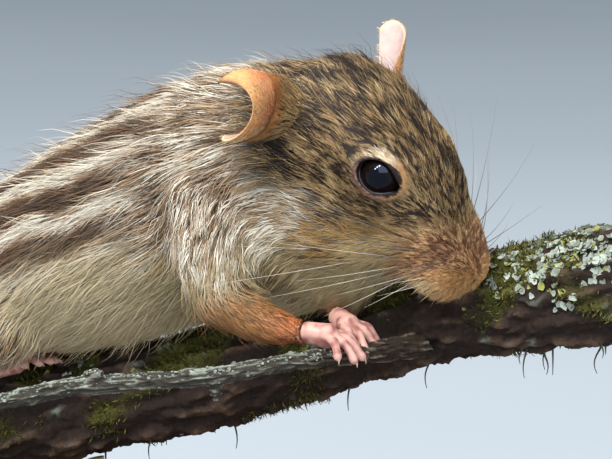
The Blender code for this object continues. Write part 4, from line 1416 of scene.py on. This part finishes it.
def make_bark(name, node, line, voxel, relief, grain, material, colour_of):
    """A packed stem with furrows along it, painted by a function; grain is a furrow's length and width."""
    thing = fused(name, [node_form(node)], voxel, 4)
    points, triangles = mesh_arrays(thing.data)
    normals = point_normals(points, triangles)
    along, offset = stem_place(points, line)
    place = np.column_stack((along / grain[0], offset[:, 1:] / grain[1]))
    place += 0.35 * np.column_stack([lumps(points, 4.0 * grain[1], seed) for seed in (71, 72, 73)])
    rough = turbulence(place, 1.0, 4, 3) - 0.45
    big = lumps(points, 7.0 * grain[1], 4)
    points = points + normals * column(relief * (1.6 * rough + 0.6 * big) - 0.25 * relief)
    set_points(thing.data, points)
    paint_mesh(thing.data, colour_of(points, normals, rough))
    thing.data.materials.clear()
    thing.data.materials.append(material)
    thing.data.shade_smooth()
    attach(thing, "root")
    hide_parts(node)
    return {"points": points, "triangles": triangles, "normals": normals}


def branch_colours(points, normals, rough):
    """Bark, moss and lichen over the branch."""
    up = normals[:, 2]
    moss = ease(0.05, 0.45, lumps(points, 7.0, 21) + 0.25 * up) * ease(-0.4, 0.3, up + 0.3)
    crust = lumps(points, 3.0, 22) + 0.35 * ease(38.0, 62.0, points[:, 0]) + 0.2 * up - 0.25
    return layered(BARK_DARK,
                   (BARK_BROWN, ease(-0.30, 0.25, rough)),
                   (BARK_PALE, ease(0.12, 0.40, rough) * 0.6),
                   (MOSS * 0.7, moss * 0.75),
                   (LICHEN * 0.8, ease(0.18, 0.42, crust) * 0.55 * ease(-0.4, 0.1, rough)))


def twig_colours(points, normals, rough):
    """Weathered grey bark of the twig, browner near the branch, darkened in its furrows as painted shade,
    with pale crust on top of its far part that is partly a painted highlight.
    """
    far = ease(-8.0, -20.0, points[:, 1])
    bark = blend(TWIG_BROWN, TWIG_BARK, far)
    crust = ease(-0.1, 0.5, 0.8 * lumps(points, 1.6, 31) + 0.6 * normals[:, 2]) * (0.2 + 0.8 * far)
    # bark * 0.35 is painted shade in the sunken furrows; the pale crust on top is partly lichen and partly a
    # painted highlight.
    return layered(bark * 0.35,
                   (bark, ease(-0.28, 0.02, rough)),
                   (TWIG_PALE, ease(0.05, 0.30, rough) * 0.6),
                   (LICHEN * 0.85, crust * 0.6 * ease(-0.3, 0.0, rough)))


def make_lichen(name, stem, count, size, draw, where, palette):
    """Small leafy lobes of lichen set close on a stem."""
    at = sample(stem, where, count, draw)
    lobes = 9
    angle = TURN * np.arange(lobes) / lobes
    # Painted shade: each lobe full bright at its rim, a little darker at its top, half at its foot and
    # darker still beneath.
    shade = np.concatenate((np.full(lobes, 1.0), np.full(lobes, 0.5), (0.8, 0.4)))
    faces = capped_faces(2, lobes)
    parts, colours = [], []
    for root, up in zip(at(stem["points"]), unit(at(stem["normals"]))):
        radius = size * draw.uniform(0.5, 1.5)
        side = unit(np.cross(up, draw.normal(0, 1, 3)))
        over = np.cross(up, side)
        wave = 0.82 + 0.14 * np.sin(angle * 3 + draw.uniform(0, 6))
        reach = radius * (wave + draw.uniform(-0.15, 0.15, lobes))
        lift = column(radius * draw.uniform(0.10, 0.38, lobes))
        ring = root + column(np.cos(angle) * reach) * side + column(np.sin(angle) * reach) * over + lift * up
        foot = root - up * 0.15 + 0.55 * (ring - root) - lift * 0.55 * up
        parts.append((np.vstack((ring, foot, root + up * 0.10 * radius, root - up * 0.2)), faces))
        tint = palette[int(draw.integers(len(palette)))] * draw.uniform(0.65, 1.1)
        colours.append(column(shade) * tint)
    crust = painted_material(name + "_crust", 0.9, 0.2, (2500.0, 0.4, 0.1))
    piece = new_object(name, *joined(parts), crust, np.clip(np.vstack(colours), 0, 1), False)
    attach(piece, "root")


def make_moss(name, stem, count, length, draw, where, palette):
    """Short, soft spikes of moss on a stem."""
    at = sample(stem, where, count, draw)
    roots, ups = at(stem["points"]), unit(at(stem["normals"]))
    ways = unit(np.cross(ups, draw.normal(0, 1, (count, 3))))
    lengths = length * draw.uniform(0.5, 1.4, count)
    lifts = np.column_stack((draw.uniform(50, 90, count), draw.uniform(10, 60, count)))
    lines = hair_lines(roots - ups * 0.1, ups, ways, lengths, lifts, draw.normal(0, 0.3, count), 2)
    tints = np.array(palette)[draw.integers(0, len(palette), count)] * column(draw.uniform(0.5, 1.2, count))
    foot, bend, tip = lines.transpose(1, 0, 2)
    side = unit(np.cross(bend - foot, ups + 0.1)) * MOSS_HALF_WIDTH
    corners = (foot - side, foot + side, bend + ups * MOSS_HALF_WIDTH, bend - side, bend + side, tip)
    verts = np.stack(corners, axis=1).reshape(-1, 3)
    pattern = np.array(((0, 1, 4), (0, 4, 3), (3, 2, 0), (2, 4, 1), (3, 5, 2), (2, 5, 4)))
    faces = (pattern[None] + (np.arange(count) * 6)[:, None, None]).reshape(-1, 3)
    green = painted_material(name + "_green", 0.8, 0.2)
    piece = new_object(name, verts, faces, green, np.clip(np.repeat(tints, 6, axis=0), 0, 1))
    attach(piece, "root")


def make_strands(stem, draw):
    """Thin strands of moss that hang from the underside of the branch."""
    low = ease(-0.7, -0.95, stem["normals"][:, 2]) * ease(0.1, 0.4, lumps(stem["points"], 6.0, 61)) + 1e-6
    parts = []
    t = np.linspace(0.0, 1.0, 7)
    for root in sample(stem, low, 30, draw)(stem["points"]):
        length = draw.uniform(0.8, 3.6)
        sway = draw.normal(0.0, 0.16, 3) * length * (1.0, 1.0, 0.0)
        path = root + column(t) * np.array((0.0, 0.0, -length)) + column(np.sin(2.4 * t)) * sway
        path[0] += (0.0, 0.0, 0.4)
        parts.append(tube(path, 0.15 * (1 - 0.7 * t), 5))
    strand = painted_material("strand", 0.9, 0.1)
    strands = new_object("moss_strands", *joined(parts), strand, srgb(96, 92, 74))
    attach(strands, "root")


def wood_material():
    """Dark, satin wood with fine grain along the base."""
    material, shader, tree = new_material("stand_walnut", 0.38, 0.45)
    grain = noise_node(tree, 160.0, 8.0, 0.65, (0.12, 1.0, 1.0))
    fine = noise_node(tree, 900.0, 4.0, 0.6, (0.05, 1.0, 1.0))
    browns = ramp_node(tree, grain, (0.30, srgb(62, 38, 24)), (0.55, srgb(104, 68, 42)),
                       (0.75, srgb(134, 92, 58)))
    colour_by_product(tree, shader, browns, grey_ramp(tree, fine, (0.35, 0.75), (0.65, 1.0)))
    bump_node(tree, shader, fine, 0.25, 0.05)
    return material


def metal_material():
    """Brushed, slightly dulled brass."""
    material, shader, tree = new_material("stand_brass", 0.32, 0.5)
    shader.inputs["Metallic"].default_value = 1.0
    brushed = noise_node(tree, 500.0, 3.0, 0.5, (1.0, 1.0, 0.05))
    brass = ramp_node(tree, brushed, (0.3, srgb(168, 142, 96)), (0.7, srgb(206, 184, 136)))
    tree.links.new(brass, shader.inputs["Base Color"])
    bump_node(tree, shader, brushed, 0.15, 0.02)
    return material


# Section of the collar at the foot of a rod: radius and height
COLLAR = np.array(((1.66, 0.05), (3.2, 0.05), (3.3, 0.35), (3.2, 1.0), (2.7, 1.35), (1.9, 1.7), (1.66, 2.1)))


def make_collar(name, material):
    """A turned collar round the foot of a rod."""
    low, high = (np.array(corner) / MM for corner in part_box(name))
    middle_x, middle_y, _ = 0.5 * (low + high)
    sides = 48
    angle = TURN * np.arange(sides) / sides
    points = [np.column_stack((middle_x + radius * np.cos(angle), middle_y + radius * np.sin(angle),
                               np.full(sides, low[2] + height))) for radius, height in COLLAR]
    faces = grid_faces(len(COLLAR) + 1, sides) % (len(COLLAR) * sides)
    collar = new_object(name + "_collar", np.vstack(points), faces, material)
    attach(collar, "root")


def make_stand():
    """Finish the base and rods, with a collar at the foot of each rod."""
    wood, metal = wood_material(), metal_material()
    rods = ("stand_rod_front", "stand_rod_rear")
    for name in ("stand_base",) + rods:
        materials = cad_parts[name].data.materials
        materials.clear()
        materials.append(metal if name in rods else wood)
    for name in rods:
        make_collar(name, metal)


# Studio

def camera_axes():
    """Right, up and back of the photo's view."""
    az, el = math.radians(VIEW_AZIMUTH), math.radians(VIEW_ELEVATION)
    right = np.array((math.cos(az), math.sin(az), 0.0))
    up = np.array((-math.sin(el) * math.sin(az), math.sin(el) * math.cos(az), math.cos(el)))
    back = np.array((math.sin(az) * math.cos(el), -math.cos(az) * math.cos(el), math.sin(el)))
    return right, up, back


def make_camera():
    """The camera at the photo's viewing angle and framing."""
    right, up, back = camera_axes()
    data = bpy.data.cameras.new("camera")
    camera = linked("camera", data)
    turn = Matrix(np.column_stack((right, up, back)).tolist()).to_4x4()
    place = (np.array(VIEW_POINT) + back * VIEW_DISTANCE) * MM
    camera.matrix_world = Matrix.Translation(Vector(place)) @ turn
    data.sensor_width = SENSOR_WIDTH
    data.lens = SENSOR_WIDTH * VIEW_DISTANCE * PHOTO_SCALE / PHOTO_WIDTH
    data.clip_start = 0.01
    data.clip_end = 20.0
    bpy.context.scene.camera = camera


def make_light(name, way, distance, size, power, tint, mirrored=True):
    """A soft square light on the head from a way right, up and back of the view.

    A light that isn't mirrored leaves no highlight on glossy things.
    """
    right, up, back = camera_axes()
    offset = unit(right * way[0] + up * way[1] + back * way[2])
    data = bpy.data.lights.new(name, "AREA")
    data.size = size
    data.energy = power
    data.color = tint
    light = linked(name, data)
    light.location = Vector(np.array(VIEW_POINT) * MM + offset * distance)
    light.rotation_euler = Vector(offset).to_track_quat("Z", "Y").to_euler()
    light.visible_glossy = mirrored


def make_floor():
    """A wide, plain, pale floor."""
    material, shader, tree = new_material("floor", 0.9, 0.2)
    grain = noise_node(tree, 3.0, 2.0)
    pale = ramp_node(tree, grain, (0.3, srgb(176, 184, 190)), (0.7, srgb(184, 192, 198)))
    tree.links.new(pale, shader.inputs["Base Color"])
    mesh = bpy.data.meshes.new("floor")
    half = FLOOR_HALF
    corners = [(-half, -half, 0), (half, -half, 0), (half, half, 0), (-half, half, 0)]
    mesh.from_pydata(corners, [], [(0, 1, 2, 3)])
    mesh.materials.append(material)
    floor = linked("floor", mesh)
    floor.visible_glossy = False


def make_studio():
    """The floor, pale surroundings, three key lights in a row, and a soft sky, top light and fill."""
    make_floor()
    world = bpy.data.worlds.new("studio")
    world.use_nodes = True
    background = world.node_tree.nodes["Background"]
    background.inputs["Color"].default_value = (0.60, 0.67, 0.74, 1.0)
    background.inputs["Strength"].default_value = 0.62
    bpy.context.scene.world = world
    for k, way in enumerate(((-0.62, 0.62, 0.62), (-0.42, 0.78, 0.60), (-0.20, 0.86, 0.58))):
        make_light("key_%d" % (k + 1), way, 0.8, 0.10, 2.1, (1.0, 0.95, 0.89))
    make_light("sky", (0.10, 0.60, 0.70), 0.9, 0.90, 8.0, (0.86, 0.93, 1.0))
    make_light("top", (-0.1, 1.0, -0.10), 0.8, 0.7, 2.6, (0.97, 0.98, 1.0))
    make_light("fill", (0.35, 0.10, 0.95), 0.9, 0.8, 1.0, (1.0, 0.97, 0.94), False)
    bpy.context.scene.view_settings.view_transform = "Standard"


# Pieces of the coat: the nodes they grow on, the number of tufts, the steps along each, the most tufts
# in a piece, and the share of the tufts that others gather round
COATS = {
    "coat_head": (("head",), 100000, 2, 32000, 0.08),
    "coat_body": (("torso", "neck"), 64000, 3, 19000, 0.14),
    "coat_legs": (("fore",), 13000, 2, 32000, 0.16),
    "coat_haunch": (("hind",), 12000, 2, 32000, 0.12),
    "coat_tail": (("tail",), 8000, 2, 32000, 0.20),
}


FUR = painted_material("fur", 0.55, 0.35)
EAR_SKIN = painted_material("ear_skin", 0.55, 0.35, (1400.0, 0.25, 0.08), 0.35)
FOOT_SKIN = painted_material("foot_skin", 0.42, 0.45, (2600.0, 0.35, 0.08), 0.25)
NOSE_SKIN = painted_material("nose_skin", 0.38, 0.5, (5000.0, 0.4, 0.05), 0.15)


def build_animal():
    """Skin, coat, eyes, ears, feet, claws and whiskers."""
    draw = np.random.default_rng(20)
    skin, body = make_skin()
    scale = 1.0
    for name, (group, count, steps, per_piece, locks_share) in COATS.items():
        make_coat(name, body, group, int(count * scale), steps, per_piece, draw, locks_share)
    open_lids(skin)
    paint_skin(skin, body)
    skin.data.materials.clear()
    skin.data.materials.append(painted_material("hide", 0.75, 0.25, (1500.0, 0.4, 0.15)))
    skin.data.shade_smooth()
    make_eyes()
    parts = [make_ear(name, draw) for name in EAR_NODES] + [make_nose()]
    parts += [make_foot(name) for name in FEET_NODES]
    bpy.ops.object.select_all(action="DESELECT")
    for part in parts + [skin]:
        part.select_set(True)
    bpy.context.view_layer.objects.active = skin
    bpy.ops.object.join()
    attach(skin, "root")
    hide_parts(*COAT, *FEET_NODES, *EAR_NODES)
    make_claws()
    make_whiskers(draw)


def build_perch():
    """Branch and twig with their bark, lichen and moss."""
    draw = np.random.default_rng(5)
    bark = bark_material()
    branch = make_bark("branch_bark", "perch_branch", BRANCH_LINE, 0.55, 0.75, (5.0, 1.3), bark,
                       branch_colours)
    twig = make_bark("twig_bark", "perch_twig", TWIG_LINE, 0.16, 0.22, (2.6, 0.36), bark, twig_colours)
    points, up = branch["points"], branch["normals"][:, 2]
    far = ease(44.0, 60.0, points[:, 0]) * ease(-0.2, 0.5, up + 0.4 * lumps(points, 4.0, 41))
    scattered = 0.06 * ease(0.1, 0.4, lumps(points, 5.0, 42)) * ease(-0.2, 0.6, up)
    make_lichen("lichen_branch", branch, 1900, 0.48, draw, far + scattered + 1e-4,
                (LICHEN, LICHEN, LICHEN * 0.8, LICHEN * 0.65, LICHEN_YELLOW))
    top = ease(0.1, 0.8, twig["normals"][:, 2] + 0.5 * lumps(twig["points"], 2.5, 43))
    make_lichen("lichen_twig", twig, 520, 0.17, draw, top * ease(-4.0, -12.0, twig["points"][:, 1]) + 0.02,
                (LICHEN * 0.8, LICHEN * 0.65, LICHEN * 0.5))
    mossy = ease(0.0, 0.4, lumps(points, 7.0, 21) + 0.25 * up) + 1e-4
    make_moss("moss_branch", branch, 13500, 0.9, draw, mossy,
              (MOSS * 0.8, MOSS * 0.5, srgb(70, 60, 30), srgb(120, 120, 50)))
    make_strands(branch, draw)


build_animal()
build_perch()
make_stand()
make_studio()
make_camera()
